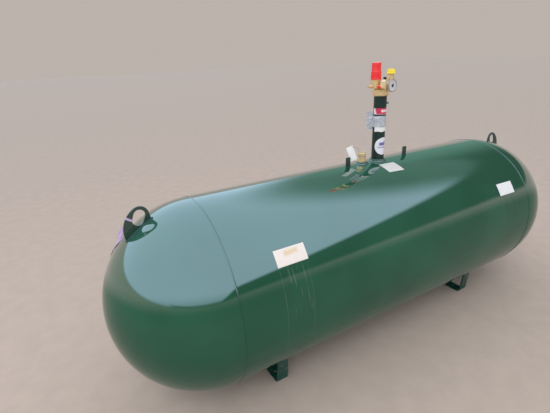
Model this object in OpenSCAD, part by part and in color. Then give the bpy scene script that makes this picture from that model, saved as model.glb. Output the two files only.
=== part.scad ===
// Horizontal steel pressure tank with hemispherical heads, a tall riser and a
// brass valve group. Lengths are millimetres. The X axis runs along the tank,
// Z points up, and the origin is on the ground below the middle of the tank.

/* [Tank] */
// Outside diameter of the shell and of both heads
tank_d = 950.4; // [860:0.1:1040]
// Length of the straight shell between the two head tangent lines
shell_len = 2080; // [1900:1:2500]
// Wall of the rolled shell
shell_t = 5.5; // [4.5:0.1:9]
// Wall of the hemispherical heads
head_t = 4.6; // [3.5:0.1:9]
// Gap between the plates at the root of a butt weld
root_gap = 2; // [1:0.1:4]
// Height of a butt weld's crown above the plate
crown_h = 1.6; // [0.8:0.1:3]
// Width of the long seam weld across its crown
long_seam_w = 9; // [6:0.5:14]

/* [Cradles] */
// Clear height below the shell
ground_gap = 69.8; // [55:0.1:110]
// Spacing of the two cradles along the tank
cradle_gap = 1524; // [1200:1:1700]
// Width of the flat bar that each cradle is bent from
strap_w = 63.5; // [50:0.5:90]
// Thickness of the flat bar
strap_t = 8; // [6:0.1:12]
// Outside radius of the two bends
bend_r = 30; // [20:1:45]
// Distance from the middle to the start of each bend
flat_half = 239; // [200:1:270]
// Outward lean of the arms from the vertical, in degrees
arm_lean = 6; // [0:0.5:12]
// Diameter of the anchor holes
anchor_d = 19; // [12:0.5:26]
// Spacing of the anchor holes across the tank
anchor_gap = 381; // [300:1:420]
// Leg of the fillet welds at the cradles and the lifting lugs
fillet_leg = 7; // [4:0.5:10]

/* [Lifting lugs] */
// Plate thickness of a lifting lug
lug_t = 9.5; // [8:0.5:20]
// Angle of a lug's middle above the tank axis, in degrees
lug_angle = 56; // [50:0.5:62]
// Outside radius of the lug around its eye
lug_eye_r = 40; // [36:0.5:48]
// Height of the eye's centre above the head
lug_eye_h = 43; // [40:0.5:50]
// Shift of the eye towards the top of the tank
lug_eye_shift = 52; // [45:0.5:60]
// Radius of the long back edge
lug_back_r = 122; // [110:1:140]
// End radius of the oval hole
lug_hole_r = 25; // [18:0.5:28]
// Distance between the two centres of the oval hole
lug_hole_gap = 24; // [0:0.5:30]

/* [Riser] */
// Position of the riser along the tank
riser_x = 121; // [60:1:200]
// Outside diameter of the riser pipe
pipe_d = 73; // [60:0.1:80]
// Wall of the riser pipe
pipe_t = 7; // [4:0.1:9]
// Height of the riser pipe above the top of the tank
riser_h = 376; // [300:1:480]
// Outside diameter of the riser's weld collar
collar_d = 90; // [86:0.5:110]
// Height of the weld collar above the top of the tank
collar_h = 14; // [10:0.5:30]
// Depth of a weld collar below the top of the tank
collar_depth = 20; // [14:0.5:40]
// Running clearance of threaded and taped pieces
seat_gap = 0.2; // [0.1:0.05:0.4]

/* [Valve group] */
// Diameter of the large brass collar on the riser
base_d = 92; // [86:0.5:110]
// Height of the large brass collar
base_h = 43; // [35:0.5:55]
// Distance of the relief valve from the riser axis
relief_offset = 42; // [38:0.5:48]
// Width of the relief valve's hexagon across its flats
relief_hex = 52; // [48:0.5:54]
// Height of the relief valve's hexagon above the collar
relief_hex_h = 47; // [40:0.5:60]
// Diameter of the red relief cap at its foot
relief_cap_d = 56; // [50:0.5:60]
// Height of the red relief cap
relief_cap_h = 94; // [60:0.5:110]
// Distance of the fill valve from the riser axis
fill_offset = 73; // [68:0.5:80]
// Diameter of the fill valve's neck
fill_d = 34; // [28:0.5:38]
// Diameter of the yellow fill cap
fill_cap_d = 52; // [46:0.5:58]
// Height of the yellow fill cap
fill_cap_h = 25; // [18:0.5:32]
// Diameter of the dial gauge
gauge_d = 68; // [56:0.5:74]
// Diameter of the service valve's domed bonnet
bonnet_d = 38; // [30:0.5:44]

/* [Liquid valve] */
// Position of the liquid valve along the tank
liquid_x = -4; // [-30:1:20]
// Outside diameter of the liquid valve's weld collar
liquid_collar_d = 62; // [56:0.5:74]
// Height of the liquid valve above its collar
liquid_h = 52; // [40:0.5:70]

/* [Dome clips] */
// Distance of the dome clips from the riser axis
clip_gap = 230; // [190:1:260]
// Width of a dome clip
clip_w = 31; // [20:0.5:45]
// Height of a dome clip above the tank
clip_h = 52; // [35:0.5:70]
// Thickness of a dome clip
clip_t = 6; // [4:0.5:10]

/* [Labels and tape] */
// Thickness of the printed film labels
film_t = 0.4; // [0.3:0.05:1]
// Width of the two labels on the shell's side
side_label_w = 156; // [100:1:200]
// Height of the two labels on the shell's side
side_label_h = 76; // [50:1:110]
// Width of the label beside the riser
top_label_w = 112; // [80:1:150]
// Height of the label beside the riser
top_label_h = 96; // [60:1:120]
// Width of the silver tape round the riser
tape_w = 64; // [40:1:80]
// Height of the tape's lower edge above the top of the tank
tape_z = 203; // [180:1:220]
// Diameter of the round label on the riser
disc_d = 104; // [80:1:130]

/* [Hidden] */
$fn = 96;
// Facets of the circles as large as the tank
TANK_FN = 480;

tank_r = tank_d / 2;
axis_h = ground_gap + tank_r;
top_z = axis_h + tank_r;
half_len = shell_len / 2;
cradle_x = cradle_gap / 2;
pipe_r = pipe_d / 2;
collar_r = collar_d / 2;
liquid_collar_r = liquid_collar_d / 2;

// Groove of the butt welds: a root land, then two faces that open outwards
groove_angle = 30;
root_r = tank_r - min(shell_t, head_t);
groove_w = root_gap / 2 + (tank_r - root_r) * tan(groove_angle);
crown_steps = 8;

// Lug outline in the plane of the tank axis: origin on the head's surface,
// first axis along the surface towards the top, second axis outwards
lug_base_low = -66;
lug_base_high = 75;
lug_back_lean = 2.7;
lug_hole_tilt = 34;
lug_hole_back = 11;
lug_hole_drop = 5;
lug_eye = [lug_eye_shift, lug_eye_h];
lug_hole_c = lug_eye - [lug_hole_back, lug_hole_drop];

// Heights in the valve group
pipe_top_z = top_z + riser_h;
base_top_z = pipe_top_z + base_h;
thread_depth = 25;

function unit(v) = v / norm(v);

// Points of an arc, both ends included
arc_steps = 36;
function arc(centre, radius, from, to) = [for (i = [0 : arc_steps])
    let (turn = from + (to - from) * i / arc_steps)
    centre + radius * [cos(turn), sin(turn)]];

// First point where a ray enters a circle
function ray_meets(start, dir, centre, radius) =
    let (mid = dir * (start - centre))
    start + dir * (-mid - sqrt(mid * mid - pow(norm(start - centre), 2) + radius * radius));

// Where two circles cross, on the left of the way from the first to the second
function circles_meet(c1, r1, c2, r2) =
    let (gap = norm(c2 - c1), way = (c2 - c1) / gap,
        near = (gap * gap + r1 * r1 - r2 * r2) / (2 * gap), off = sqrt(r1 * r1 - near * near))
    c1 + near * way + off * [-way[1], way[0]];

function bearing(from, to) = atan2(to[1] - from[1], to[0] - from[0]);

// Rotates about the vertical through the riser axis
module at_riser(z = 0) {
    translate([riser_x, 0, z]) children();
}

module at_liquid(z = 0) {
    translate([liquid_x, 0, z]) children();
}

// The space that the tank fills, for pieces that are cut to fit its curve
module tank_body() {
    translate([0, 0, axis_h]) rotate([0, 90, 0])
        cylinder(r = tank_r, h = shell_len, center = true, $fn = TANK_FN);
}

// Lays a solid of revolution along the tank axis
module along_tank() {
    translate([0, 0, axis_h]) rotate([0, 90, 0]) children();
}

// Half of a weld groove, from the middle of the seam to the plate's end
module groove_half(reach) {
    polygon([
        [root_r - reach, -1], [root_r - reach, root_gap / 2], [root_r, root_gap / 2],
        [tank_r, groove_w], [tank_r + reach, groove_w + reach * tan(groove_angle)],
        [tank_r + reach, -1]
    ]);
}

// Profiles of the plates: radius across, tank axis up
module shell_profile() {
    difference() {
        translate([tank_r - shell_t, -half_len]) square([shell_t, shell_len]);
        translate([0, half_len]) mirror([0, 1]) groove_half(shell_t + 5);
        translate([0, -half_len]) groove_half(shell_t + 5);
    }
}

module head_profile() {
    difference() {
        intersection() {
            difference() {
                circle(r = tank_r, $fn = TANK_FN);
                circle(r = tank_r - head_t, $fn = TANK_FN);
            }
            square([tank_r + 1, tank_r + 1]);
        }
        groove_half(head_t + 5);
    }
}

module weld_profile() {
    crown = [for (i = [1 : crown_steps - 1])
        [tank_r + crown_h * sin(180 * i / crown_steps), -groove_w * cos(180 * i / crown_steps)]];
    polygon(concat(
        [[root_r, root_gap / 2], [root_r, -root_gap / 2], [tank_r, -groove_w]],
        crown, [[tank_r, groove_w]]));
}

module shell() {
    color("darkgreen") difference() {
        along_tank() rotate_extrude($fn = TANK_FN) shell_profile();
        at_riser(axis_h) cylinder(r = collar_r, h = tank_r + 10);
        at_liquid(axis_h) cylinder(r = liquid_collar_r, h = tank_r + 10);
        long_seam_slot();
    }
}

// The long seam lies on the far side, low down, where the plate ends meet
long_seam_angle = 240;

module long_seam_slot() {
    translate([0, 0, axis_h]) rotate([long_seam_angle, 0, 0])
        translate([-half_len - 1, -root_gap / 2, 0]) cube([shell_len + 2, root_gap, tank_r + 1]);
}

module long_seam_weld() {
    seam_len = shell_len - 2 * groove_w;
    half_w = long_seam_w / 2;
    crown = [for (i = [1 : crown_steps - 1])
        [half_w * cos(180 * i / crown_steps), tank_r + crown_h * sin(180 * i / crown_steps)]];
    color("darkgreen") translate([0, 0, axis_h]) rotate([long_seam_angle, 0, 0])
        rotate([90, 0, 90]) linear_extrude(seam_len, center = true) polygon(concat(
            [[root_gap / 2, tank_r - shell_t], [root_gap / 2, tank_r], [half_w, tank_r]],
            crown,
            [[-half_w, tank_r], [-root_gap / 2, tank_r], [-root_gap / 2, tank_r - shell_t]]));
}

module head(side) {
    color("darkgreen") translate([side * half_len, 0, axis_h]) rotate([0, side * 90, 0])
        rotate_extrude($fn = TANK_FN) head_profile();
}

module head_left() { head(-1); }
module head_right() { head(1); }

module girth_weld(side) {
    color("darkgreen") translate([side * half_len, 0, axis_h]) rotate([0, 90, 0])
        rotate_extrude($fn = TANK_FN) weld_profile();
}

module girth_weld_left() { girth_weld(-1); }
module girth_weld_right() { girth_weld(1); }

// Puts the lug's plane outline on a head
module on_head(side) {
    translate([side * half_len, 0, axis_h])
    mirror([side < 0 ? 1 : 0, 0, 0])
    rotate([90, 0, 0])
    rotate([0, 0, lug_angle])
    translate([tank_r, 0, 0])
    rotate([0, 0, -90]) mirror([1, 0, 0])
        children();
}

function lug_back_centre() =
    lug_eye - (lug_back_r - lug_eye_r) * [sin(lug_back_lean), cos(lug_back_lean)];

// One closed line: along the head, up the front edge to the eye, round the eye
// and down the long back edge
module lug_outline() {
    head_c = [0, -tank_r];
    back_c = lug_back_centre();
    crest = lug_eye + lug_eye_r * [sin(lug_back_lean), cos(lug_back_lean)];
    low = circles_meet(head_c, tank_r, back_c, lug_back_r);
    foot_turn = lug_base_high / tank_r * 180 / PI;
    foot = head_c + tank_r * [sin(foot_turn), cos(foot_turn)];
    reach = foot - lug_eye;
    touch_turn = bearing(lug_eye, foot) + acos(lug_eye_r / norm(reach));
    difference() {
        polygon(concat(
            arc(head_c, tank_r, bearing(head_c, low), bearing(head_c, foot)),
            arc(lug_eye, lug_eye_r, touch_turn, bearing(lug_eye, crest)),
            [for (p = arc(back_c, lug_back_r, bearing(back_c, crest), bearing(back_c, low)))
                if (norm(p - crest) > 1 && norm(p - low) > 1) p]));
        lug_hole();
    }
}

module lug_hole() {
    hole_dir = [cos(lug_hole_tilt), sin(lug_hole_tilt)] * lug_hole_gap / 2;
    polygon(concat(
        arc(lug_hole_c + hole_dir, lug_hole_r, lug_hole_tilt - 90, lug_hole_tilt + 90),
        arc(lug_hole_c - hole_dir, lug_hole_r, lug_hole_tilt + 90, lug_hole_tilt + 270)));
}

module lifting_lug(side) {
    color("darkgreen") on_head(side)
        linear_extrude(lug_t, center = true) lug_outline();
}

module lifting_lug_left() { lifting_lug(-1); }
module lifting_lug_right() { lifting_lug(1); }

// Fillet bead along both faces of a lug, following the head's curve
module lug_weld(side) {
    inner = lug_t / 2;
    outer = lug_t / 2 + fillet_leg;
    low_r = sqrt(tank_r * tank_r - outer * outer);
    start = lug_angle + lug_base_low / tank_r * 180 / PI + 1;
    sweep = (lug_base_high - lug_base_low) / tank_r * 180 / PI - 2;
    color("darkgreen") translate([side * half_len, 0, axis_h])
    mirror([side < 0 ? 1 : 0, 0, 0]) rotate([90, 0, 0]) rotate([0, 0, start])
        for (face = [-1, 1])
            rotate_extrude(angle = sweep) polygon([
                [tank_r, face * inner], [tank_r + fillet_leg, face * inner], [low_r, face * outer]
            ]);
}

module lug_weld_left() { lug_weld(-1); }
module lug_weld_right() { lug_weld(1); }

// One half of the cradle's bar, seen along the tank: along the ground, round
// the bend and up the arm, with the fillet that joins its outer face to the shell
axis_c = [0, axis_h];
bend_c = [flat_half, bend_r];
arm_dir = [sin(arm_lean), cos(arm_lean)];
arm_out = [cos(arm_lean), -sin(arm_lean)];
arm_top = ray_meets(bend_c + bend_r * arm_out, arm_dir, axis_c, tank_r);
bead_end = bearing(axis_c, arm_top) + fillet_leg / tank_r * 180 / PI;
cut_depth = 4;

function cradle_half() = concat(
    arc(bend_c, bend_r, -90, -arm_lean),
    [
        arm_top - fillet_leg * arm_dir,
        axis_c + tank_r * [cos(bead_end), sin(bead_end)],
        axis_c + (tank_r - cut_depth) * [cos(bead_end), sin(bead_end)],
        arm_top - strap_t * arm_out + 2 * cut_depth * arm_dir
    ],
    arc(bend_c, bend_r - strap_t, -arm_lean, -90));

module cradle(side) {
    half = cradle_half();
    last = len(half) - 1;
    color("darkgreen") difference() {
        translate([side * cradle_x - strap_w / 2, 0, 0]) rotate([90, 0, 90]) linear_extrude(strap_w)
            polygon(concat(half, [for (i = [last : -1 : 0]) [-half[i][0], half[i][1]]]));
        tank_body();
        for (row = [-1, 1])
            translate([side * cradle_x, row * anchor_gap / 2, -1])
                cylinder(d = anchor_d, h = strap_t + 2);
    }
}

module cradle_left() { cradle(-1); }
module cradle_right() { cradle(1); }

// Weld collars and their fillets on top of the shell
module weld_collar(radius, bore_r) {
    translate([0, 0, top_z - collar_depth]) difference() {
        cylinder(r = radius - seat_gap, h = collar_depth + collar_h);
        translate([0, 0, -1]) cylinder(r = bore_r, h = collar_depth + collar_h + 2);
    }
}

module collar_fillet(radius) {
    sink = radius * radius / tank_r;
    difference() {
        translate([0, 0, top_z - sink]) difference() {
            cylinder(r1 = radius + fillet_leg + sink, r2 = radius, h = fillet_leg + sink);
            translate([0, 0, -1]) cylinder(r = radius, h = fillet_leg + sink + 2);
        }
        translate([0, 0, axis_h]) rotate([0, 90, 0])
            cylinder(r = tank_r, h = 4 * radius, center = true, $fn = TANK_FN);
    }
}

module riser_collar() {
    color("darkgreen") at_riser() weld_collar(collar_r, pipe_r + seat_gap);
}

module riser_weld() {
    color("darkgreen") at_riser() collar_fillet(collar_r);
}

module riser_pipe() {
    color("darkgreen") at_riser(top_z - collar_depth) difference() {
        cylinder(r = pipe_r, h = collar_depth + riser_h + thread_depth);
        translate([0, 0, -1])
            cylinder(r = pipe_r - pipe_t, h = collar_depth + riser_h + thread_depth + 2);
    }
}

stud_drop = 39;
stud_turn = -45;
stud_d = 9;
stud_reach = 12;
stud_nut_d = 15;
stud_nut_h = 6;

module riser_stud() {
    color("dimgray") at_riser(pipe_top_z - stud_drop) rotate([0, 90, stud_turn])
        translate([0, 0, pipe_r]) union() {
            cylinder(d = stud_d, h = stud_reach);
            translate([0, 0, stud_nut_h / 2]) cylinder(d = stud_nut_d, h = stud_nut_h, $fn = 6);
        }
}

// Brass collar, screwed over the top of the riser pipe: a turned ring with
// eight flats for the wrench
base_chamfer = 5;
base_slope = 9;
base_flats = 0.965;
base_web = 8;

module valve_base() {
    color("goldenrod") at_riser(pipe_top_z) difference() {
        intersection() {
            rotate_extrude() polygon([
                [0, 0], [base_d / 2 - base_chamfer, 0], [base_d / 2, base_chamfer],
                [base_d / 2, base_h - base_slope], [base_d / 2 - base_slope, base_h], [0, base_h]
            ]);
            cylinder(d = base_d * base_flats / cos(22.5), h = base_h, $fn = 8);
        }
        translate([0, 0, -1]) cylinder(r = pipe_r + seat_gap, h = thread_depth + 1.2);
        cylinder(r = pipe_r - pipe_t, h = base_h - base_web);
    }
}

body_d = 70;
body_h = 28;
lobe_h = 22;
lobe_rim = 2.3;
lobe_r = relief_hex / 2 + lobe_rim;
flat_depth = 1.3;
lobe_flat = lobe_r - flat_depth;
port_z = 13;
fill_boss_d = 44;
fill_boss_h = 30;
boss_lift = 4;
arm_trim = 8;
neck_d = 20;
service_shift = 12;
service_clear = 1;
service_at = [service_shift - relief_offset, -(relief_hex + bonnet_d) / 2 - service_clear];
service_boss_d = 40;
service_h = 20;
arm_drop = 3;
outlet_reach = 29;
outlet_d = 18;
gauge_at = [14, -60];
gauge_turn = 3;
vent_at = [7, -20];
vent_d = 11;
vent_h = 18;
vent_root = 5;

// Brass casting on the collar, with a lobe or an arm for each valve
module valve_body() {
    service_r = norm(service_at);
    color("goldenrod") at_riser(base_top_z) difference() {
        union() {
            cylinder(d = body_d, h = body_h);
            translate([-relief_offset, 0, 0]) cylinder(r = lobe_r, h = lobe_h);
            translate([fill_offset, 0, boss_lift]) cylinder(d = fill_boss_d, h = fill_boss_h);
            translate([0, arm_trim / 2 - fill_boss_d / 2, boss_lift])
                cube([fill_offset, fill_boss_d - arm_trim, fill_boss_h - arm_trim]);
            translate([service_at[0], service_at[1], 0]) cylinder(d = service_boss_d, h = service_h);
            rotate(atan2(service_at[1], service_at[0])) translate([0, arm_trim / 2 - service_boss_d / 2, 0])
                cube([service_r, service_boss_d - arm_trim, service_h - arm_drop]);
            translate([gauge_at[0], 0, port_z]) rotate([90, 0, gauge_turn])
                cylinder(d = neck_d, h = -gauge_at[1]);
            translate([service_at[0], service_at[1], service_h / 2]) rotate([0, -90, 0])
                cylinder(d = outlet_d, h = outlet_reach);
            translate([vent_at[0], vent_at[1], body_h - vent_root])
                cylinder(d = vent_d, h = vent_h + vent_root);
        }
        translate([-relief_offset, 0, lobe_h])
            cylinder(d = relief_hex / cos(30) + 2 * seat_gap, h = body_h);
        translate([-relief_offset - 2 * lobe_r, -lobe_r, -1])
            cube([2 * lobe_r - lobe_flat, 2 * lobe_r, lobe_h + 2]);
    }
}

relief_wall = 6;
relief_gap = 4;
relief_skirt_h = 42;
relief_taper = 3;
relief_rim = [6, 4];

module relief_hex() {
    color("goldenrod") at_riser(base_top_z) translate([-relief_offset, 0, lobe_h]) union() {
        cylinder(d = relief_hex / cos(30), h = relief_hex_h - lobe_h - relief_gap, $fn = 6);
        cylinder(d = relief_cap_d - 2 * relief_wall, h = relief_hex_h - lobe_h + relief_wall);
    }
}

module relief_cap() {
    cap_r = relief_cap_d / 2;
    bore_r = cap_r - relief_wall + seat_gap;
    color("red") at_riser(base_top_z + relief_hex_h) translate([-relief_offset, 0, 0])
        rotate_extrude() polygon([
            [0, relief_wall + seat_gap], [bore_r, relief_wall + seat_gap], [bore_r, 0], [cap_r, 0],
            [cap_r, relief_skirt_h], [cap_r - relief_taper + 1, relief_skirt_h + relief_taper],
            [cap_r - relief_taper, relief_cap_h - relief_rim[1]], [cap_r - relief_rim[0], relief_cap_h],
            [0, relief_cap_h]
        ]);
}

fill_base_z = boss_lift + fill_boss_h;
fill_neck_h = 40;
fill_hex_h = 12;
fill_hex_edge = 2;
fill_flange_h = 4;
fill_flange_w = 3;
fill_taper = 2;

module fill_neck() {
    color("goldenrod") at_riser(base_top_z + fill_base_z) translate([fill_offset, 0, 0]) union() {
        cylinder(d = fill_d / cos(30) + fill_hex_edge, h = fill_hex_h, $fn = 6);
        cylinder(d = fill_d, h = fill_neck_h);
    }
}

module fill_cap() {
    cap_r = fill_cap_d / 2;
    grip_r = cap_r - fill_flange_w;
    color("yellow") at_riser(base_top_z + fill_base_z + fill_neck_h) translate([fill_offset, 0, 0])
        rotate_extrude() polygon([
            [0, 0], [cap_r, 0], [cap_r, fill_flange_h], [grip_r, fill_flange_h + fill_taper],
            [grip_r - fill_taper, fill_cap_h - fill_flange_w],
            [grip_r - fill_taper - fill_flange_w, fill_cap_h], [0, fill_cap_h]
        ]);
}

gauge_case_h = 12;
gauge_rim = 4;
dial_t = 2;

module at_gauge() {
    at_riser(base_top_z + port_z) translate([gauge_at[0], 0, 0]) rotate([90, 0, gauge_turn])
        translate([0, 0, -gauge_at[1]]) children();
}

module gauge_case() {
    gauge_r = gauge_d / 2;
    color("silver") at_gauge() rotate_extrude() polygon([
        [0, 0], [gauge_r - gauge_rim, 0], [gauge_r, gauge_rim], [gauge_r, gauge_case_h],
        [gauge_r - gauge_rim, gauge_case_h], [gauge_r - gauge_rim, gauge_case_h - gauge_rim],
        [0, gauge_case_h - gauge_rim]
    ]);
}

module gauge_dial() {
    color("white") at_gauge() translate([0, 0, gauge_case_h - gauge_rim])
        cylinder(r = gauge_d / 2 - gauge_rim - seat_gap, h = dial_t);
}

// Service valve: a round bonnet with a domed top
bonnet_h = 29;
bonnet_edge = 1.5;
dome_share = 0.6;
dome_steps = 8;

module service_bonnet() {
    bonnet_r = bonnet_d / 2;
    dome_h = bonnet_r * dome_share;
    color("goldenrod") at_riser(base_top_z + service_h) translate([service_at[0], service_at[1], 0])
        rotate_extrude() polygon(concat(
            [[0, 0], [bonnet_r - bonnet_edge, 0], [bonnet_r, bonnet_edge]],
            [for (i = [0 : dome_steps]) let (turn = 90 * i / dome_steps)
                [bonnet_r * cos(turn), bonnet_h - dome_h + dome_h * sin(turn)]]));
}

// Turned profiles of the small fittings: radius, then height above the seat
plug_profile = [[0, 0], [10, 0], [10, 3], [8, 4], [7, 10], [0, 10]];
knob_profile = [[0, 0], [7, 0], [9, 2], [9, 11], [7, 13], [0, 13]];
bleed_profile = [[0, 0], [8, 0], [8, 10], [5.5, 12], [5.5, 24], [7, 26], [7, 31], [0, 31]];

module outlet_plug() {
    color("red") at_riser(base_top_z + service_h / 2)
        translate([service_at[0] - outlet_reach, service_at[1], 0])
            rotate([0, -90, 0]) rotate_extrude() polygon(plug_profile);
}

module vent_knob() {
    color("black") at_riser(base_top_z + body_h + vent_h) translate([vent_at[0], vent_at[1], 0])
        rotate_extrude() polygon(knob_profile);
}

module bleed_valve() {
    color("goldenrod") at_riser(base_top_z + port_z)
        translate([-relief_offset - lobe_flat, 0, 0]) rotate([0, -90, 0])
            rotate_extrude() polygon(bleed_profile);
}

// Film that follows a cylinder's surface: a tube cut by an upright outline
module film(radius, depth, thick) {
    intersection() {
        difference() {
            cylinder(r = radius + thick, h = 4 * depth, center = true);
            cylinder(r = radius, h = 4 * depth + 2, center = true);
        }
        rotate([90, 0, 0]) linear_extrude(2 * radius) children();
    }
}

tape_t = 0.8;
slip_t = 0.3;
slip_drop = 26;
film_gap = 0.1;

module riser_tape() {
    tape_r = pipe_r + film_gap + slip_t + film_gap;
    color("silver") at_riser(top_z + tape_z) difference() {
        cylinder(r = tape_r + tape_t, h = tape_w);
        translate([0, 0, -1]) cylinder(r = tape_r, h = tape_w + 2);
    }
}

pouch_w = 34;
pouch_h = 104;
pouch_t = 3;
pouch_rise = 22;
pouch_turn = 45;

module tape_pouch() {
    tape_out = pipe_r + 2 * film_gap + slip_t + tape_t;
    color("silver") at_riser(top_z + tape_z + tape_w - pouch_h + pouch_rise) rotate(-pouch_turn)
        translate([-tape_out - pouch_w - film_gap, -pouch_t / 2, 0]) cube([pouch_w, pouch_t, pouch_h]);
}

module paper_slip() {
    slip_r = pipe_r + film_gap;
    color("white") at_riser(top_z + tape_z - slip_drop) difference() {
        cylinder(r = slip_r + slip_t, h = tape_w);
        translate([0, 0, -1]) cylinder(r = slip_r, h = tape_w + 2);
        translate([-2 * pipe_r, 0, -1]) cube([4 * pipe_r, 2 * pipe_r, tape_w + 2]);
    }
}

riser_label_h = 34;
riser_label_z = 276;
riser_label_turn = [160, 200];

module riser_label() {
    label_r = pipe_r + film_gap;
    color("crimson") at_riser(top_z + riser_label_z) rotate([0, 0, riser_label_turn[0]])
        rotate_extrude(angle = riser_label_turn[1]) translate([label_r, 0]) square([film_t, riser_label_h]);
}

disc_z = 92;
disc_turn = 4;

module round_label() {
    color("white") at_riser(top_z + disc_z) rotate([0, 0, disc_turn])
        film(pipe_r + film_gap, disc_d, film_t) circle(d = disc_d);
}

liquid_bore_r = 20;

module liquid_collar() {
    color("darkgreen") at_liquid() weld_collar(liquid_collar_r, liquid_bore_r);
}

module liquid_weld() {
    color("darkgreen") at_liquid() collar_fillet(liquid_collar_r);
}

liquid_hex = 46;
liquid_waist_d = 40;
liquid_cap_h = 16;
liquid_cap_edge = [1.5, 2, 3];
liquid_hex_h = 10;
spigot_h = 18;

module liquid_valve() {
    color("goldenrod") at_liquid(top_z + collar_h) union() {
        cylinder(d = liquid_hex / cos(30), h = liquid_hex_h, $fn = 6);
        cylinder(d = liquid_waist_d, h = liquid_h - liquid_cap_h);
        translate([0, 0, -spigot_h]) cylinder(r = liquid_bore_r - seat_gap, h = spigot_h + 1);
    }
}

module liquid_cap() {
    cap_r = liquid_hex / 2;
    color("goldenrod") at_liquid(top_z + collar_h + liquid_h - liquid_cap_h) rotate_extrude()
        polygon([[0, 0], [cap_r - liquid_cap_edge[0], 0], [cap_r, liquid_cap_edge[0]],
            [cap_r, liquid_cap_h - liquid_cap_edge[1]],
            [cap_r - liquid_cap_edge[2], liquid_cap_h], [0, liquid_cap_h]]);
}

// The card hangs by its upper right corner from a stiff wire round the valve
card_w = 40;
card_h = 88;
card_t = 0.8;
card_lean = 22;
card_turn = 25;
card_hole = [-79, 1, 111];
card_hole_d = 3.6;
card_hole_in = 6;
tie_r = 0.8;
tie_stand = [0, 4.5, 0];
tie_bend = [-36, -8, 97];
tie_knee = [-26, -2, 47];
tie_z = collar_h + liquid_h - liquid_cap_h - 4;
tie_ring_r = liquid_waist_d / 2 + tie_r + film_gap;

module tag_card() {
    color("white") at_liquid(top_z) translate(card_hole) rotate([0, -card_lean, -card_turn])
        rotate([90, 0, 0]) linear_extrude(card_t, center = true) difference() {
            translate([card_hole_in - card_w, card_hole_in - card_h]) square([card_w, card_h]);
            circle(d = card_hole_d);
        }
}

module wire(from, to) {
    run = to - from;
    translate(from)
        rotate([0, acos(run[2] / norm(run)), atan2(run[1], run[0])])
            cylinder(r = tie_r, h = norm(run), $fn = 24);
    translate(to) sphere(r = tie_r + 0.1, $fn = 24);
}

module tag_tie() {
    front = card_hole - tie_stand;
    back = card_hole + tie_stand;
    ring = [-tie_ring_r, 0, tie_z];
    color("gray") at_liquid(top_z) union() {
        wire(back, front);
        wire(front, tie_bend);
        wire(tie_bend, tie_knee);
        wire(tie_knee, ring);
        translate([0, 0, tie_z]) rotate_extrude() translate([tie_ring_r, 0]) circle(r = tie_r, $fn = 24);
    }
}

clip_root = 6;

module dome_clip(side) {
    color("darkgreen") difference() {
        at_riser(top_z - clip_root) translate([side * clip_gap - clip_w / 2, -clip_t / 2, 0])
            cube([clip_w, clip_t, clip_h + clip_root]);
        tank_body();
    }
}

module dome_clip_left() { dome_clip(-1); }
module dome_clip_right() { dome_clip(1); }

// Label that follows the shell
module shell_label(at, w, h) {
    translate([at[0], 0, axis_h]) rotate([at[1], 0, 0]) intersection() {
        rotate([0, 90, 0]) difference() {
            cylinder(r = tank_r + film_gap + film_t, h = 2 * w, center = true, $fn = TANK_FN);
            cylinder(r = tank_r + film_gap, h = 2 * w + 2, center = true, $fn = TANK_FN);
        }
        rotate([0, 0, at[2]]) translate([-w / 2, -h / 2, 0]) cube([w, h, 2 * tank_r]);
    }
}

// Place of each label: along the tank, angle down from the top, tilt
left_label_at = [-761, 55.3, 0];
right_label_at = [832, 57.7, -1];
top_label_at = [116, 14.8, -4];

module side_label_left() { color("white") shell_label(left_label_at, side_label_w, side_label_h); }
module side_label_right() { color("white") shell_label(right_label_at, side_label_w, side_label_h); }
module top_label() { color("white") shell_label(top_label_at, top_label_w, top_label_h); }

// Flagging ribbon: a band round the lug's rim and a tail that falls from it
// to the far side of the left head, where it lies on the steel
ribbon_w = 26;
ribbon_knot_w = 11;
ribbon_t = 1.2;
ribbon_angle = 112;
ribbon_slack = 1.6;
ribbon_seat = 0.3;
ribbon_lift = 1.5;
ribbon_end = [-385, 194, 203];
ribbon_twist = 60;
ribbon_twist_end = 0.75;
ribbon_steps = 18;

// Distance from the lug's back centre to the hole's edge along the ribbon's ray
function lug_hole_edge(ray) =
    let (end = lug_hole_c - [cos(lug_hole_tilt), sin(lug_hole_tilt)] * lug_hole_gap / 2 - lug_back_centre())
    end * ray + sqrt(pow(lug_hole_r, 2) - pow(norm(end), 2) + pow(end * ray, 2));

// A point of the lug's plane, measured from the left head's centre
function lug_point(p) =
    let (along = lug_angle + 90, out = lug_angle)
    [-(tank_r + p[1]) * cos(out) - p[0] * cos(along), 0, (tank_r + p[1]) * sin(out) + p[0] * sin(along)];

ribbon_ray = [cos(ribbon_angle), sin(ribbon_angle)];
ribbon_near = lug_hole_edge(ribbon_ray);
ribbon_rim = lug_back_r - ribbon_near;
ribbon_mid = lug_point(lug_back_centre() + (ribbon_near + ribbon_rim / 2) * ribbon_ray)
    + [0, lug_t / 2 + ribbon_seat + 2 * ribbon_t, 0];

// The tail hangs in a straight run that meets the head at a tangent, and then
// follows it: the angle of that run, and its share of the whole turn
ribbon_level = tank_r + ribbon_lift;
ribbon_run = acos(ribbon_level / norm(ribbon_mid));
ribbon_land = ribbon_run / acos(unit(ribbon_mid) * unit(ribbon_end));

function tail_point(i) =
    let (t = i / ribbon_steps, turn = ribbon_run / ribbon_land,
        way = (unit(ribbon_mid) * sin(turn * (1 - t)) + unit(ribbon_end) * sin(turn * t)) / sin(turn))
    way * ribbon_level / cos(ribbon_run * max(0, 1 - t / ribbon_land));

// The tail is bunched at the knot and opens to its full width further down
function tail_width(i) = ribbon_knot_w + (ribbon_w - ribbon_knot_w) * min(1, 3 * i / ribbon_steps);

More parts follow.
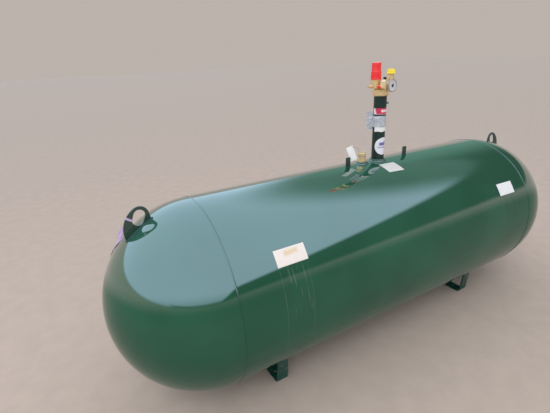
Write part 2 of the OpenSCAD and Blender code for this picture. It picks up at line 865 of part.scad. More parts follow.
// It turns about its own length on the way and lies flat before it lands
function tail_roll(i) =
    ribbon_twist * sin(180 * min(1, i / ribbon_steps / ribbon_land / ribbon_twist_end));

module ribbon_tail() {
    points = [for (i = [0 : ribbon_steps])
        let (here = tail_point(i),
            along = unit(tail_point(i + 1) - tail_point(i - 1)),
            level = unit(cross(here, along)),
            rise = cross(along, level),
            across = level * cos(tail_roll(i)) - rise * sin(tail_roll(i)),
            out = rise * cos(tail_roll(i)) + level * sin(tail_roll(i)))
        for (corner = [[-1, 0], [1, 0], [1, 1], [-1, 1]])
            here + across * corner[0] * tail_width(i) / 2 + out * corner[1] * ribbon_t];
    sides = [for (i = [0 : ribbon_steps - 1]) for (k = [0 : 3])
        let (low = 4 * i + k, next = 4 * i + (k + 1) % 4)
        for (face = [[low, low + 4, next + 4], [low, next + 4, next]]) face];
    last = 4 * ribbon_steps;
    polyhedron(points, concat([[0, 1, 2, 3]], sides, [[last + 3, last + 2, last + 1, last]]), convexity = 4);
}

module ribbon_band() {
    inner = [ribbon_rim + 2 * ribbon_slack, lug_t + 2 * ribbon_seat];
    translate(lug_back_centre()) rotate(ribbon_angle)
        translate([ribbon_near + ribbon_rim / 2, 0, 0]) difference() {
            cube([inner[0] + 4 * ribbon_t, ribbon_knot_w, inner[1] + 4 * ribbon_t], center = true);
            cube([inner[0], ribbon_w, inner[1]], center = true);
        }
}

module lug_ribbon() {
    color("plum") union() {
        on_head(-1) ribbon_band();
        translate([-half_len, 0, axis_h]) ribbon_tail();
    }
}

shell();
head_left();
head_right();
girth_weld_left();
girth_weld_right();
long_seam_weld();
lifting_lug_left();
lifting_lug_right();
lug_weld_left();
lug_weld_right();
cradle_left();
cradle_right();
riser_collar();
riser_weld();
riser_pipe();
riser_stud();
valve_base();
valve_body();
relief_hex();
relief_cap();
fill_neck();
fill_cap();
gauge_case();
gauge_dial();
service_bonnet();
outlet_plug();
vent_knob();
bleed_valve();
riser_tape();
tape_pouch();
paper_slip();
riser_label();
round_label();
liquid_collar();
liquid_weld();
liquid_valve();
liquid_cap();
tag_card();
tag_tie();
dome_clip_left();
dome_clip_right();
side_label_left();
side_label_right();
top_label();
lug_ribbon();
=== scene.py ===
"""Looks of the horizontal pressure tank: coated plates, weld beads, valves, labels and ribbon."""

import logging
from dataclasses import dataclass, field
from enum import Enum
from math import acos, atan2, cos, degrees, pi, radians, sin, sqrt
from typing import Callable, ClassVar, Sequence

import bmesh
import bpy
import numpy as np
from mathutils import Matrix


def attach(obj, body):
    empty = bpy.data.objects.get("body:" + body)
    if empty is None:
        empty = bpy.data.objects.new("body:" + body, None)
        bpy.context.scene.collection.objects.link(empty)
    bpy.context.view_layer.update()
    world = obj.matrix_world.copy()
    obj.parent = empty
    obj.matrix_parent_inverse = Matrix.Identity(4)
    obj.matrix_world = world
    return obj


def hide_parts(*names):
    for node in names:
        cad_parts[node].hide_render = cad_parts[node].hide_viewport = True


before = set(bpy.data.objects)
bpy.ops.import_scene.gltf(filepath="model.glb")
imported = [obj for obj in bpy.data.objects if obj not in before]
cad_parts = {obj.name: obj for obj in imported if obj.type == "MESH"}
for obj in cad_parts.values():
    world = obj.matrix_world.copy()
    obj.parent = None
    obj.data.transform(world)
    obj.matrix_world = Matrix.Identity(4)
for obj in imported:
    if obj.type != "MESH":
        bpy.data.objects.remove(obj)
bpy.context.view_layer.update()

LOG = logging.getLogger("tank")
Array = np.ndarray
Material, Mesh, Thing = bpy.types.Material, bpy.types.Mesh, bpy.types.Object
Span = tuple[float, float]
Vec = tuple[float, float, float]
Colour = tuple[float, float, float]
Pairs = Sequence[Sequence[float]]
Sockets = dict[object, object]
TURN = 2.0 * pi
UP = (0.0, 0.0, 1.0)


# ---- shader expressions ----

def maths(operation: str, turned: bool = False) -> Callable[..., "Wire"]:
    """Makes a method of Wire that adds one Math node.

    Args:
        operation: The node's operation.
        turned: Whether the wire is the last operand, as in 1 - mask.

    Returns:
        The method, which returns the node's result.
    """
    def method(wire: "Wire", *others: object) -> "Wire":
        """Adds the node."""
        values = (*others, wire) if turned else (wire, *others)
        return wire.graph.add("ShaderNodeMath", {"operation": operation}, dict(enumerate(values)))
    return method


class Wire:
    """A socket in a node tree; arithmetic on it adds Math nodes."""

    def __init__(self, graph: "Graph", source: object) -> None:
        """Keeps the graph and the socket."""
        self.graph = graph
        self.source = source

    __add__, __radd__ = maths("ADD"), maths("ADD", turned=True)
    __sub__, __rsub__ = maths("SUBTRACT"), maths("SUBTRACT", turned=True)
    __mul__, __rmul__ = maths("MULTIPLY"), maths("MULTIPLY", turned=True)
    __truediv__, __rtruediv__ = maths("DIVIDE"), maths("DIVIDE", turned=True)
    least, most = maths("MINIMUM"), maths("MAXIMUM")
    size, root, wave = maths("ABSOLUTE"), maths("SQRT"), maths("SINE")
    turn_to = maths("ARCTAN2")  # the angle of the point (other, self), in radians

    def ease(self, low: float, high: float) -> "Wire":
        """Smooth step from 0 at low to 1 at high."""
        return self.graph.add("ShaderNodeMapRange", {"interpolation_type": "SMOOTHSTEP"},
                              {"Value": self, "From Min": low, "From Max": high})

    def between(self, low: float, high: float, soft: float) -> "Wire":
        """1 from low to high, easing in after low and out after high over soft."""
        return self.ease(low, low + soft) * (1 - self.ease(high, high + soft))


class Graph:
    """The node tree of a new material, or of a world."""

    def __init__(self, name: str, world: bpy.types.World | None = None) -> None:
        """Empties the tree.

        Args:
            name: The material's name.
            world: The world whose tree it is, or None for a new material.
        """
        self.owner = world or bpy.data.materials.new(name)
        self.owner.use_nodes = True
        self.tree = self.owner.node_tree
        self.tree.nodes.clear()

    def add(self, kind: str, settings: dict[str, object] | None = None,
            sockets: Sockets | None = None, out: object = 0) -> Wire:
        """Adds a node.

        Args:
            kind: The node's type.
            settings: The node's own properties, which are set first.
            sockets: Input name or number to a number, a tuple or a wire.
            out: Name or number of the output that the result stands for.

        Returns:
            The chosen output.
        """
        node = self.tree.nodes.new(kind)
        for key, value in (settings or {}).items():
            setattr(node, key, value)
        for key, value in (sockets or {}).items():
            if isinstance(value, Wire):
                self.tree.links.new(value.source, node.inputs[key])
            else:
                node.inputs[key].default_value = value
        return Wire(self, node.outputs[out] if len(node.outputs) else None)

    def object_point(self) -> Wire:
        """Object coordinates."""
        return self.add("ShaderNodeTexCoord", out="Object")

    def surface_point(self) -> Wire:
        """The piece's own UV map."""
        return self.add("ShaderNodeUVMap", {"uv_map": "surface"})

    def axes(self, point: Wire) -> tuple[Wire, Wire, Wire]:
        """Splits a point into X, Y and Z."""
        split = self.add("ShaderNodeSeparateXYZ", None, {0: point}).source.node
        return tuple(Wire(self, output) for output in split.outputs)

    def stretch(self, point: Wire, scale: Vec) -> Wire:
        """Scales a pattern's coordinates."""
        return self.add("ShaderNodeMapping", None, {"Vector": point, "Scale": scale})

    def noise(self, point: Wire, scale: float, detail: float = 3.0, rough: float = 0.5) -> Wire:
        """Smooth noise around 0.5, with scale in cells per metre."""
        return self.add("ShaderNodeTexNoise", None,
                        {"Vector": point, "Scale": scale, "Detail": detail, "Roughness": rough})

    def cells(self, point: Wire, scale: float) -> Wire:
        """Distance to the nearest of scattered points."""
        return self.add("ShaderNodeTexVoronoi", None, {"Vector": point, "Scale": scale})

    def blend(self, mask: Wire, low: Wire | Colour, high: Wire | Colour) -> Wire:
        """Mixes two colours: 0 in the mask gives the first, 1 the second."""
        low, high = (c if isinstance(c, Wire) else (*c, 1.0) for c in (low, high))
        return self.add("ShaderNodeMix", {"data_type": "RGBA"}, {0: mask, 6: low, 7: high}, out=2)

    def bump(self, height: Wire, depth: float, below: Wire | None = None) -> Wire:
        """Bump normal.

        Args:
            height: The height, from 0 to 1.
            depth: What its full range stands for, in metres.
            below: The normal that the bump is laid on, if any.

        Returns:
            The new normal.
        """
        sockets: Sockets = {"Height": height, "Distance": depth, "Strength": 1.0}
        if below is not None:
            sockets["Normal"] = below
        return self.add("ShaderNodeBump", None, sockets)

    def finish(self, **sockets: object) -> Material:
        """Ends the tree in a Principled shader.

        Args:
            sockets: Input names with _ for a space, and their values.

        Returns:
            The material.
        """
        named = {key.replace("_", " "): value for key, value in sockets.items()}
        shader = self.add("ShaderNodeBsdfPrincipled", None, named)
        self.add("ShaderNodeOutputMaterial", None, {"Surface": shader})
        return self.owner


# ---- shapes as arrays ----

def unit(vectors: Array) -> Array:
    """Vectors scaled to length 1."""
    vectors = np.asarray(vectors, float)
    return vectors / np.linalg.norm(vectors, axis=-1, keepdims=True)


def circle(turn: Array | float) -> Array:
    """Points (cos, sin) of the unit circle."""
    return np.stack([np.cos(turn), np.sin(turn)], -1)


def run_length(points: Array) -> Array:
    """Distance along a line at each of its points."""
    return np.concatenate([[0.0], np.cumsum(np.linalg.norm(np.diff(points, axis=0), axis=1))])


def ripple(*terms: tuple[Array, float, float]) -> Array:
    """Sum of sines, for marks that don't repeat evenly; a term is (where, waves per unit, size)."""
    return sum(size * np.sin(TURN * waves * where + 1.7 * index)
               for index, (where, waves, size) in enumerate(terms))


@dataclass(frozen=True)
class Stand:
    """A local frame: its origin in metres and the directions of its first two axes."""

    origin: Vec = (0.0, 0.0, 0.0)
    along: Vec = (1.0, 0.0, 0.0)
    side: Vec = (0.0, 1.0, 0.0)

    @staticmethod
    def facing(origin: Vec, axis: Vec) -> "Stand":
        """Frame whose third axis points along axis and whose second stays near upright."""
        along = np.cross(UP, axis)
        return Stand(origin, tuple(unit(along)), tuple(unit(np.cross(axis, along))))

    def axes(self) -> Array:
        """The three unit axes, the second made square to the first.

        Returns:
            The axes as rows.
        """
        first = unit(self.along)
        second = unit(np.asarray(self.side) - first * (first @ np.asarray(self.side)))
        return np.array([first, second, np.cross(first, second)])

    def place(self, points: Array) -> Array:
        """Local points in the part's frame."""
        return np.asarray(points) @ self.axes() + np.asarray(self.origin)


@dataclass
class Surface:
    """A mesh as arrays: points, faces of four and of three corners, and a UV point for each."""

    points: Array
    quads: Array
    tris: Array = field(default_factory=lambda: np.zeros((0, 3), int))
    uv: Array | None = None

    def at(self, stand: Stand) -> "Surface":
        """The same surface placed by a local frame."""
        return Surface(stand.place(self.points), self.quads, self.tris, self.uv)

    def with_(self, *others: "Surface") -> "Surface":
        """Joins surfaces.

        Args:
            others: Surfaces without UV points.

        Returns:
            This surface and the others in one mesh.
        """
        parts = [self, *others]
        starts = np.cumsum([0] + [len(p.points) for p in parts[:-1]])
        return Surface(np.concatenate([p.points for p in parts]),
                       np.concatenate([p.quads + s for p, s in zip(parts, starts)]),
                       np.concatenate([p.tris + s for p, s in zip(parts, starts)]))


def quads(rows: int, cols: int, wrap_rows: bool = False, wrap_cols: bool = False) -> Array:
    """Faces of a grid of points that is stored row by row.

    Args:
        rows: Number of rows.
        cols: Number of points in a row.
        wrap_rows: Whether the last row joins the first.
        wrap_cols: Whether each row is a closed ring.

    Returns:
        Corner numbers, four to a face.
    """
    r, c = np.meshgrid(np.arange(rows if wrap_rows else rows - 1),
                       np.arange(cols if wrap_cols else cols - 1), indexing="ij")
    r2, c2 = (r + 1) % rows, (c + 1) % cols
    corners = [r * cols + c, r * cols + c2, r2 * cols + c2, r2 * cols + c]
    return np.stack(corners, -1).reshape(-1, 4)


def fan(tip: int, ring: Array, backwards: bool = False) -> Array:
    """Triangles from a tip to each step of a closed ring of corner numbers."""
    after = np.roll(ring, -1)
    return np.stack([np.full(len(ring), tip), *((after, ring) if backwards else (ring, after))], -1)


def softened(profile: Pairs, radius: float, steps: int = 4, closed: bool = False) -> Array:
    """Rounds the corners of a line: each becomes a quadratic curve between two points near it.

    The points lie one radius from the corner, or less on a short side, and one more point on each
    side keeps the flats flat under smooth shading.

    Args:
        profile: Corners of the line, two numbers each.
        radius: Distance from a corner to where its curve starts.
        steps: Points of each curve.
        closed: Whether the last corner joins the first.

    Returns:
        The points of the softened line.
    """
    p = np.asarray(profile, float)
    before, after = np.roll(p, 1, 0), np.roll(p, -1, 0)
    if not closed:
        before[0], after[-1] = p[0], p[-1]
    back, ahead = before - p, after - p
    back_len, ahead_len = (np.linalg.norm(v, axis=1, keepdims=True) for v in (back, ahead))
    reach = np.minimum(radius, 0.4 * np.minimum(back_len, ahead_len))
    back, ahead = back / np.maximum(back_len, 1e-12), ahead / np.maximum(ahead_len, 1e-12)
    t = np.linspace(0.0, 1.0, steps)[:, None, None]
    curve = (1 - t) ** 2 * (p + back * reach) + 2 * t * (1 - t) * p + t ** 2 * (p + ahead * reach)
    guard = 1.2 * reach
    line = np.concatenate([(p + back * guard)[None], curve, (p + ahead * guard)[None]])
    line = line.transpose(1, 0, 2).reshape(-1, 2)
    step = np.linalg.norm(np.diff(line, axis=0), axis=1)
    return line[np.concatenate([[True], step > 1e-7])]


def rows_between(profile: Array, gap: float) -> Array:
    """Adds even rows to a profile.

    Args:
        profile: The profile's points.
        gap: New rows come wherever two points lie further apart than this.

    Returns:
        The points, old and new, in order.
    """
    length = run_length(profile)
    extra = np.arange(0.0, length[-1], gap)
    clear = np.abs(extra[:, None] - length[None]).min(1) > 0.3 * gap
    where = np.unique(np.concatenate([length, extra[clear]]))
    return np.stack([np.interp(where, length, profile[:, i]) for i in range(2)], -1)


Shape = Callable[[Array, Array, Array], Array]  # of radius, angle, height


def flats(sides: int, apothem: float, low: float, high: float, turn: float = 0.0) -> Shape:
    """Wrench flats: the radius is held to apothem / cos(angle from the flat's middle).

    Args:
        sides: Number of flats.
        apothem: Distance of a flat from the axis.
        low: Height where they start.
        high: Height where they end.
        turn: Bearing of the first flat.

    Returns:
        The shape.
    """
    def shape(radius: Array, angle: Array, height: Array) -> Array:
        """New radius."""
        half = pi / sides
        off = (angle - turn + half) % (2 * half) - half
        flat = np.minimum(radius, apothem / np.cos(off))
        return np.where((height > low) & (height < high), flat, radius)
    return shape


def ribs(count: int, depth: float, low: float, high: float, above: float = 0.0) -> Shape:
    """Upright grip ribs: depth times a rounded wave of the angle is taken off the radius.

    Args:
        count: Number of ribs.
        depth: How deep the grooves between them are.
        low: Height where they start.
        high: Height where they end.
        above: Only a radius larger than this is changed.

    Returns:
        The shape.
    """
    def shape(radius: Array, angle: Array, height: Array) -> Array:
        """New radius."""
        cut = depth * (0.5 - 0.5 * np.cos(count * angle)) ** 2
        return np.where((height > low) & (height < high) & (radius > above), radius - cut, radius)
    return shape


def thread(pitch: float, depth: float, low: float, high: float, above: float) -> Shape:
    """Screw thread: depth times a wave of height / pitch minus turns is taken off the radius.

    Args:
        pitch: Height of one turn.
        depth: Depth of the thread.
        low: Height where it starts.
        high: Height where it ends.
        above: Only a radius larger than this is changed.

    Returns:
        The shape.
    """
    def shape(radius: Array, angle: Array, height: Array) -> Array:
        """New radius."""
        wave = 0.5 + 0.5 * np.cos(TURN * height / pitch - angle)
        near = np.clip(np.minimum(height - low, high - height) / pitch, 0.0, 1.0)
        return np.where(radius > above, radius - depth * wave * near, radius)
    return shape


def turned(profile: Array, turns: int = 96, shapes: Sequence[Shape] = ()) -> Surface:
    """Solid of revolution about the local Z axis, closed by a point at each end on the axis.

    Point = (r cos a, r sin a, h), with r the profile's radius changed by each shape in turn. A
    profile that doesn't start on the axis is a closed loop, and makes a ring.

    Args:
        profile: Radius and height of each row, from one end to the other.
        turns: Points round the axis.
        shapes: Functions of radius, angle and height that give a new radius.

    Returns:
        The surface.
    """
    profile = np.asarray(profile, float)
    solid = profile[0, 0] < 1e-9
    rows = profile[1:-1] if solid else profile
    angle = np.arange(turns)[None] * TURN / turns + np.zeros((len(rows), 1))
    radius, height = rows[:, :1] + 0 * angle, rows[:, 1:] + 0 * angle
    for shape in shapes:
        radius = shape(radius, angle, height)
    points = np.stack([radius * np.cos(angle), radius * np.sin(angle), height], -1).reshape(-1, 3)
    faces = quads(len(rows), turns, wrap_rows=not solid, wrap_cols=True)
    if not solid:
        return Surface(points, faces)
    ring, count = np.arange(turns), len(points)
    poles = np.array([[0, 0, profile[0, 1]], [0, 0, profile[-1, 1]]])
    ends = [fan(count, ring, backwards=True), fan(count + 1, count - turns + ring)]
    return Surface(np.concatenate([points, poles]), faces, np.concatenate(ends))


def carried(path: Array, section: Array, up: Array, closed: bool = False) -> Surface:
    """Carries a closed section along a path.

    Point = path + across * side + out * lift, where side is up x tangent and lift is tangent x
    side.

    Args:
        path: Points of the path.
        section: Closed section as (across, out) pairs, one for all of the path or one a point.
        up: A direction, or one for each point, that the section's second axis leans to.
        closed: Whether the path is a ring; otherwise its ends are closed by fans.

    Returns:
        The surface.
    """
    count, size = len(path), section.shape[-2]
    section = np.broadcast_to(section, (count, size, 2))
    if closed:
        tangent = np.roll(path, -1, 0) - np.roll(path, 1, 0)
    else:
        tangent = np.gradient(path, axis=0)
    side = unit(np.cross(np.broadcast_to(up, path.shape), tangent))
    lift = unit(np.cross(tangent, side))
    points = path[:, None] + section[..., :1] * side[:, None] + section[..., 1:] * lift[:, None]
    points = points.reshape(-1, 3)
    faces = quads(count, size, wrap_rows=closed, wrap_cols=True)
    if closed:
        return Surface(points, faces)
    ring, total = np.arange(size), len(points)
    tips = np.stack([points[:size].mean(0), points[-size:].mean(0)])
    ends = [fan(total, ring), fan(total + 1, total - size + ring, backwards=True)]
    return Surface(np.concatenate([points, tips]), faces, np.concatenate(ends))


def wire_section(radius: float, points: int = 14) -> Array:
    """Round section of a wire or a bead."""
    return radius * circle(np.arange(points) * TURN / points)


def smooth_path(knots: Pairs, steps: int = 8) -> Array:
    """Line through knots as Catmull-Rom cubics.

    Args:
        knots: Points that the line passes through.
        steps: Points of each span.

    Returns:
        The line's points.
    """
    k = np.asarray(knots, float)
    k = np.concatenate([2 * k[:1] - k[1:2], k, 2 * k[-1:] - k[-2:-1]])
    t = np.linspace(0.0, 1.0, steps, endpoint=False)[None, :, None]
    a, b, c, d = (k[i:len(k) - 3 + i][:, None] for i in range(4))
    square, cube = 2 * a - 5 * b + 4 * c - d, 3 * b - a - 3 * c + d
    curve = 0.5 * (2 * b + (c - a) * t + square * t ** 2 + cube * t ** 3)
    return np.concatenate([curve.reshape(-1, 3), k[-2:-1]])


def slab(outer: Array, thick: float, edge: float, hole: Array | None = None,
         centre: Sequence[float] = (0.0, 0.0), steps: int = 4) -> Surface:
    """Plate with rounded edges in the local XY plane, its thickness along Z.

    Each ray from the centre to an outline point carries a section: across the face, round the
    edge by quarter circles, and back. With a hole, the section starts at its matching point.

    Args:
        outer: Outline points, seen along rays from the centre.
        thick: Thickness.
        edge: Radius of the rounded edges.
        hole: Outline of a hole with as many points, or None.
        centre: Where the rays start.
        steps: Points of each quarter circle.

    Returns:
        The surface.
    """
    start = np.broadcast_to(np.asarray(centre, float), outer.shape) if hole is None else hole
    ray = unit(outer - start)
    turn = np.linspace(0.0, pi / 2, steps)
    inset = np.concatenate([edge * (1 - np.cos(turn)), [2.2 * edge]])
    height = np.concatenate([thick / 2 - edge + edge * np.sin(turn), [thick / 2]])
    inset, height = np.concatenate([inset[::-1], inset]), np.concatenate([height[::-1], -height])

    def rim(line: Array, way: float) -> Array:
        """Rounded edge along a line, going in by the inset; way is 1 outside and -1 in the hole."""
        flat = line[:, None] - way * ray[:, None] * inset[None, :, None]
        level = np.broadcast_to(way * height[None, :, None], (*flat.shape[:2], 1))
        return np.concatenate([flat, level], -1)
    end = rim(outer, 1.0)
    if hole is None:
        count, rows = end.shape[:2]
        tips = np.array([[*centre, thick / 2], [*centre, -thick / 2]])
        ring, total = np.arange(count) * rows, count * rows
        fans = [fan(total, ring), fan(total + 1, ring + rows - 1, backwards=True)]
        return Surface(np.concatenate([end.reshape(-1, 3), tips]),
                       quads(count, rows, wrap_rows=True), np.concatenate(fans))
    loop = np.concatenate([end, rim(start, -1.0)], 1)
    return Surface(loop.reshape(-1, 3),
                   quads(len(outer), loop.shape[1], wrap_rows=True, wrap_cols=True))


def corners(half_width: float, half_height: float) -> Array:
    """The four corners of a rectangle about its middle."""
    return np.array([[-1, -1], [1, -1], [1, 1], [-1, 1]]) * [half_width, half_height]


Place = Callable[[Array, Array, Array], Array]


def film(u: Array, v: Array, place: Place, thick: float, lift: Array | float = 0.0) -> Surface:
    """Closed thin film: a grid placed at its lift and one thickness higher, joined round its rim.

    Args:
        u: First coordinate of each grid point, in metres.
        v: Second coordinate.
        place: Gives points in the part's frame from u, v and the height off the surface.
        thick: Thickness.
        lift: Height of the film's underside off the surface.

    Returns:
        The surface, with (u, v) as its UV map.
    """
    rows, cols = u.shape
    under = place(u, v, lift + 0 * u).reshape(-1, 3)
    over = place(u, v, lift + thick + 0 * u).reshape(-1, 3)
    index = np.arange(rows * cols).reshape(rows, cols)
    rim = np.concatenate([index[0, :-1], index[:-1, -1], index[-1, :0:-1], index[:0:-1, 0]])
    after, total = np.roll(rim, -1), rows * cols
    side = np.stack([rim, after, after + total, rim + total], -1)
    flat = quads(rows, cols)
    uv = np.stack([u.ravel(), v.ravel()], -1)
    return Surface(np.concatenate([under, over]),
                   np.concatenate([flat[:, ::-1], flat + total, side]), uv=np.concatenate([uv, uv]))


def patch(width: float, height: float, cols: int, rows: int) -> tuple[Array, Array]:
    """Even grid of (u, v) over a rectangle about its centre."""
    return np.meshgrid(np.linspace(-width / 2, width / 2, cols),
                       np.linspace(-height / 2, height / 2, rows))


def round_patch(diameter: float, count: int) -> tuple[Array, Array]:
    """Grid of a square bent to a disc: u * sqrt(1 - v^2 / 2) and v * sqrt(1 - u^2 / 2)."""
    u, v = np.meshgrid(np.linspace(-1, 1, count), np.linspace(-1, 1, count))
    return diameter / 2 * u * np.sqrt(1 - v * v / 2), diameter / 2 * v * np.sqrt(1 - u * u / 2)


# ---- finishes ----

@dataclass(frozen=True)
class Runs:
    """Thin pale lines of water below a label: place and width along the tank, start and fall."""

    middle: float
    width: float
    top: float
    fall: float

    def marks(self, g: Graph, point: Wire) -> Wire:
        """Draws the lines: short fine ones all over the width, and a long one near each end.

        Args:
            g: The material's tree.
            point: Object coordinates.

        Returns:
            How pale each spot is, from 0 to 1.
        """
        x, y, z = g.axes(point)
        front = (0 - y).ease(0.0, 0.1)
        across = ((x - self.middle) / (self.width / 2)).size()
        depth = (self.top - z) / self.fall
        start = depth.ease(0.0, 0.05) * front
        lines = g.noise(g.stretch(point, (1.0, 0.0, 0.06)), 95.0, 1.0).ease(0.6, 0.66)
        short = lines * start * (1 - depth.ease(0.35, 1.0)) * (1 - across.ease(0.92, 1.0))
        ends = 1 - (across - 0.94).size().ease(0.008, 0.024)
        return (short * 0.15).most(ends * start * (1 - depth.ease(0.8, 1.7)) * 0.12)


@dataclass(frozen=True)
class GreenCoat:
    """Glossy dark green coat: deep base, clear gloss, faint waves of the plate, dust and splashes.

    The clear gloss is full above the upper gloss height. Below the lower one only a trace of it
    stays, so the flanks are duller than the tank's top.
    """

    base: Colour = (0.009, 0.077, 0.042)
    pale: Colour = (0.014, 0.1, 0.056)
    dirt: Colour = (0.3, 0.31, 0.26)
    gloss: float = 0.06
    wave: float = 0.0004
    peel: float = 0.00001
    clear: float = 1.0
    trace: float = 0.08
    gloss_z: Span = (0.7, 0.775)
    dust_z: Span = (0.05, 0.48)
    splash_z: Span = (0.12, 0.42)
    runs: tuple[Runs, ...] = ()

    def make(self, g: Graph) -> Material:
        """Builds the material.

        Args:
            g: Its empty tree.

        Returns:
            The material.
        """
        p = g.object_point()
        z = g.axes(p)[2]
        broad, fine = g.noise(p, 2.6, 2.0), g.noise(p, 34.0, 4.0, 0.6)
        colour = g.blend(broad.ease(0.3, 0.7), self.base, self.pale)
        dust = fine.ease(0.5, 0.85) * (1 - z.ease(*self.dust_z)) * 0.3
        specks = (1 - g.cells(p, 55.0).ease(0.06, 0.14)) * (1 - z.ease(*self.splash_z))
        marks = dust.most(specks * g.noise(p, 7.0, 1.0).ease(0.45, 0.6) * 0.5)
        for run in self.runs:
            marks = marks.most(run.marks(g, p))
        full = (1 - self.trace) * self.clear
        return g.finish(
            Base_Color=g.blend(marks, colour, self.dirt), IOR=1.3, Coat_Roughness=0.02,
            Coat_IOR=2.5, Roughness=(self.gloss + fine * 0.03 + marks * 0.4).least(0.6),
            Normal=g.bump(g.noise(p, 240.0, 2.0), self.peel, g.bump(broad, self.wave)),
            Coat_Weight=z.ease(*self.gloss_z) * full + self.trace * self.clear)


@dataclass(frozen=True)
class Brass:
    """Brass, either as cast, with a fine sandy grain, or turned, with faint lathe lines."""

    cast: bool = False
    base: Colour = (0.97, 0.74, 0.41)
    dull: Colour = (0.75, 0.53, 0.27)

    def make(self, g: Graph) -> Material:
        """Builds the material.

        Args:
            g: Its empty tree.

        Returns:
            The material.
        """
        p = g.object_point()
        tarnish = g.noise(p, 38.0, 4.0, 0.6)
        if self.cast:
            spread, rough, grain = 0.9, 0.42, g.bump(g.noise(p, 900.0, 3.0, 0.6), 0.00022)
        else:
            lathe_lines = g.noise(g.stretch(p, (0.06, 0.06, 1.0)), 2600.0, 1.0)
            spread, rough, grain = 0.55, 0.26, g.bump(lathe_lines, 0.00004)
        colour = g.blend(tarnish.ease(0.42, 0.72) * spread, self.base, self.dull)
        return g.finish(Base_Color=colour, Metallic=0.8, Normal=grain,
                        Roughness=rough + tarnish * 0.14)


@dataclass(frozen=True)
class MouldedPlastic:
    """Moulded plastic with a soft gloss, faded in patches, and with a pale painted highlight above
    a height if given.
    """

    base: Colour
    faded: Colour
    rough: float = 0.34
    chalk_z: float | None = None
    chalk: Colour = (0.8, 0.62, 0.6)
    soft: float = 0.0012

    def make(self, g: Graph) -> Material:
        """Builds the material.

        Args:
            g: Its empty tree.

        Returns:
            The material.
        """
        p = g.object_point()
        patchy = g.noise(p, 46.0, 3.0)
        colour = g.blend(patchy.ease(0.35, 0.75), self.base, self.faded)
        # Painted highlight: the rim above this height is blended towards a pale pink.
        if self.chalk_z is not None:
            above = g.axes(p)[2].ease(self.chalk_z - self.soft, self.chalk_z + self.soft)
            colour = g.blend(above * 0.55, colour, self.chalk)
        return g.finish(Base_Color=colour, Roughness=patchy * 0.12 + (self.rough - 0.06),
                        Normal=g.bump(g.noise(p, 1400.0, 2.0), 0.00003))


@dataclass(frozen=True)
class ClothTape:
    """Silver cloth tape: threads both ways under a smooth grey face, painted shade in its creases
    and a painted highlight on its folds.
    """

    base: Colour = (0.56, 0.59, 0.66)
    worn: Colour = (0.34, 0.36, 0.41)
    pale: Colour = (0.84, 0.88, 0.94)
    pitch: float = 0.0011
    wound_r: float = 0.037

    def make(self, g: Graph) -> Material:
        """Builds the material: threads are waves of the height and of the way round the pipe.

        Args:
            g: Its empty tree.

        Returns:
            The material.
        """
        p = g.object_point()
        x, y, z = g.axes(p)
        threads = TURN / self.pitch
        way = y.turn_to(x - Riser.along) * self.wound_r
        weave = (z * threads).wave() * 0.5 + (way * threads).wave() * 0.5
        crease = g.noise(g.stretch(p, (30.0, 30.0, 75.0)), 1.0, 4.0, 0.62)
        lines = 1 - ((crease - 0.5) * 14.0).size().least(1.0)
        fold = (x * 28.0 - z * 62.0 + crease * 3.0).wave()
        # Painted shade: the colour darkens along the crease lines.
        colour = g.blend(lines * 0.75, self.base, self.worn)
        # Painted highlight: a pale line along each fold.
        colour = g.blend((1 - fold.size().ease(0.05, 0.3)) * 0.8, colour, self.pale)
        shape = g.bump(crease + fold.ease(-0.2, 0.2), 0.002)
        return g.finish(Base_Color=colour, Metallic=0.15, Roughness=crease * 0.25 + 0.26,
                        Normal=g.bump(weave * 0.5 + 0.5, 0.00008, shape))


@dataclass(frozen=True)
class Paper:
    """White paper or thin card, with a faint fibre grain and soft grey smears."""

    base: Colour = (0.83, 0.85, 0.87)
    smear: Colour = (0.62, 0.65, 0.66)

    def make(self, g: Graph) -> Material:
        """Builds the material.

        Args:
            g: Its empty tree.

        Returns:
            The material.
        """
        p = g.object_point()
        smears = g.noise(p, 55.0, 4.0, 0.55).ease(0.52, 0.9)
        return g.finish(Base_Color=g.blend(smears * 0.6, self.base, self.smear),
                        Roughness=0.62 + smears * 0.2,
                        Normal=g.bump(g.noise(p, 1700.0, 3.0), 0.00005))


@dataclass(frozen=True)
class Block:
    """A plain block of colour on a film, in metres, with a soft rim; its sides lean by slant."""

    middle: Span
    half: Span
    colour: Colour
    strength: float = 1.0
    soft: float = 0.0008
    slant: float = 0.0


@dataclass(frozen=True)
class PrintedFilm:
    """Printed film: a plain ground with blocks of colour laid over it, and a thin scuffed gloss."""

    ground: Colour
    blocks: tuple[Block, ...] = ()
    gloss: float = 0.22

    def make(self, g: Graph) -> Material:
        """Builds the material: a block's mask falls off with distance outside its half size.

        Args:
            g: Its empty tree.

        Returns:
            The material.
        """
        u, v, _ = g.axes(g.surface_point())
        p = g.object_point()
        mottle = g.noise(p, 120.0, 3.0)
        darker = tuple(0.8 * c for c in self.ground)
        colour = g.blend(mottle.ease(0.4, 0.9) * 0.25, self.ground, darker)
        for block in self.blocks:
            across = (u - v * block.slant - block.middle[0]).size() - block.half[0]
            upward = (v - block.middle[1]).size() - block.half[1]
            ragged = (mottle - 0.5) * block.soft * 1.2
            mask = 1 - (across.most(upward) + ragged).ease(-block.soft, block.soft)
            colour = g.blend(mask * block.strength, colour, block.colour)
        return g.finish(Base_Color=colour, Roughness=self.gloss + mottle * 0.15,
                        Normal=g.bump(g.noise(p, 420.0, 2.0), 0.00006))


@dataclass(frozen=True)
class BareSteel:
    """Dull bare steel with faint stains."""

    base: Colour = (0.44, 0.44, 0.45)
    stained: Colour = (0.22, 0.2, 0.18)

    def make(self, g: Graph) -> Material:
        """Builds the material.

        Args:
            g: Its empty tree.

        Returns:
            The material.
        """
        p = g.object_point()
        stain = g.noise(p, 160.0, 4.0, 0.6)
        return g.finish(Base_Color=g.blend(stain.ease(0.45, 0.75), self.base, self.stained),
                        Metallic=1.0, Roughness=stain * 0.3 + 0.28,
                        Normal=g.bump(g.noise(p, 1500.0, 2.0), 0.00005))


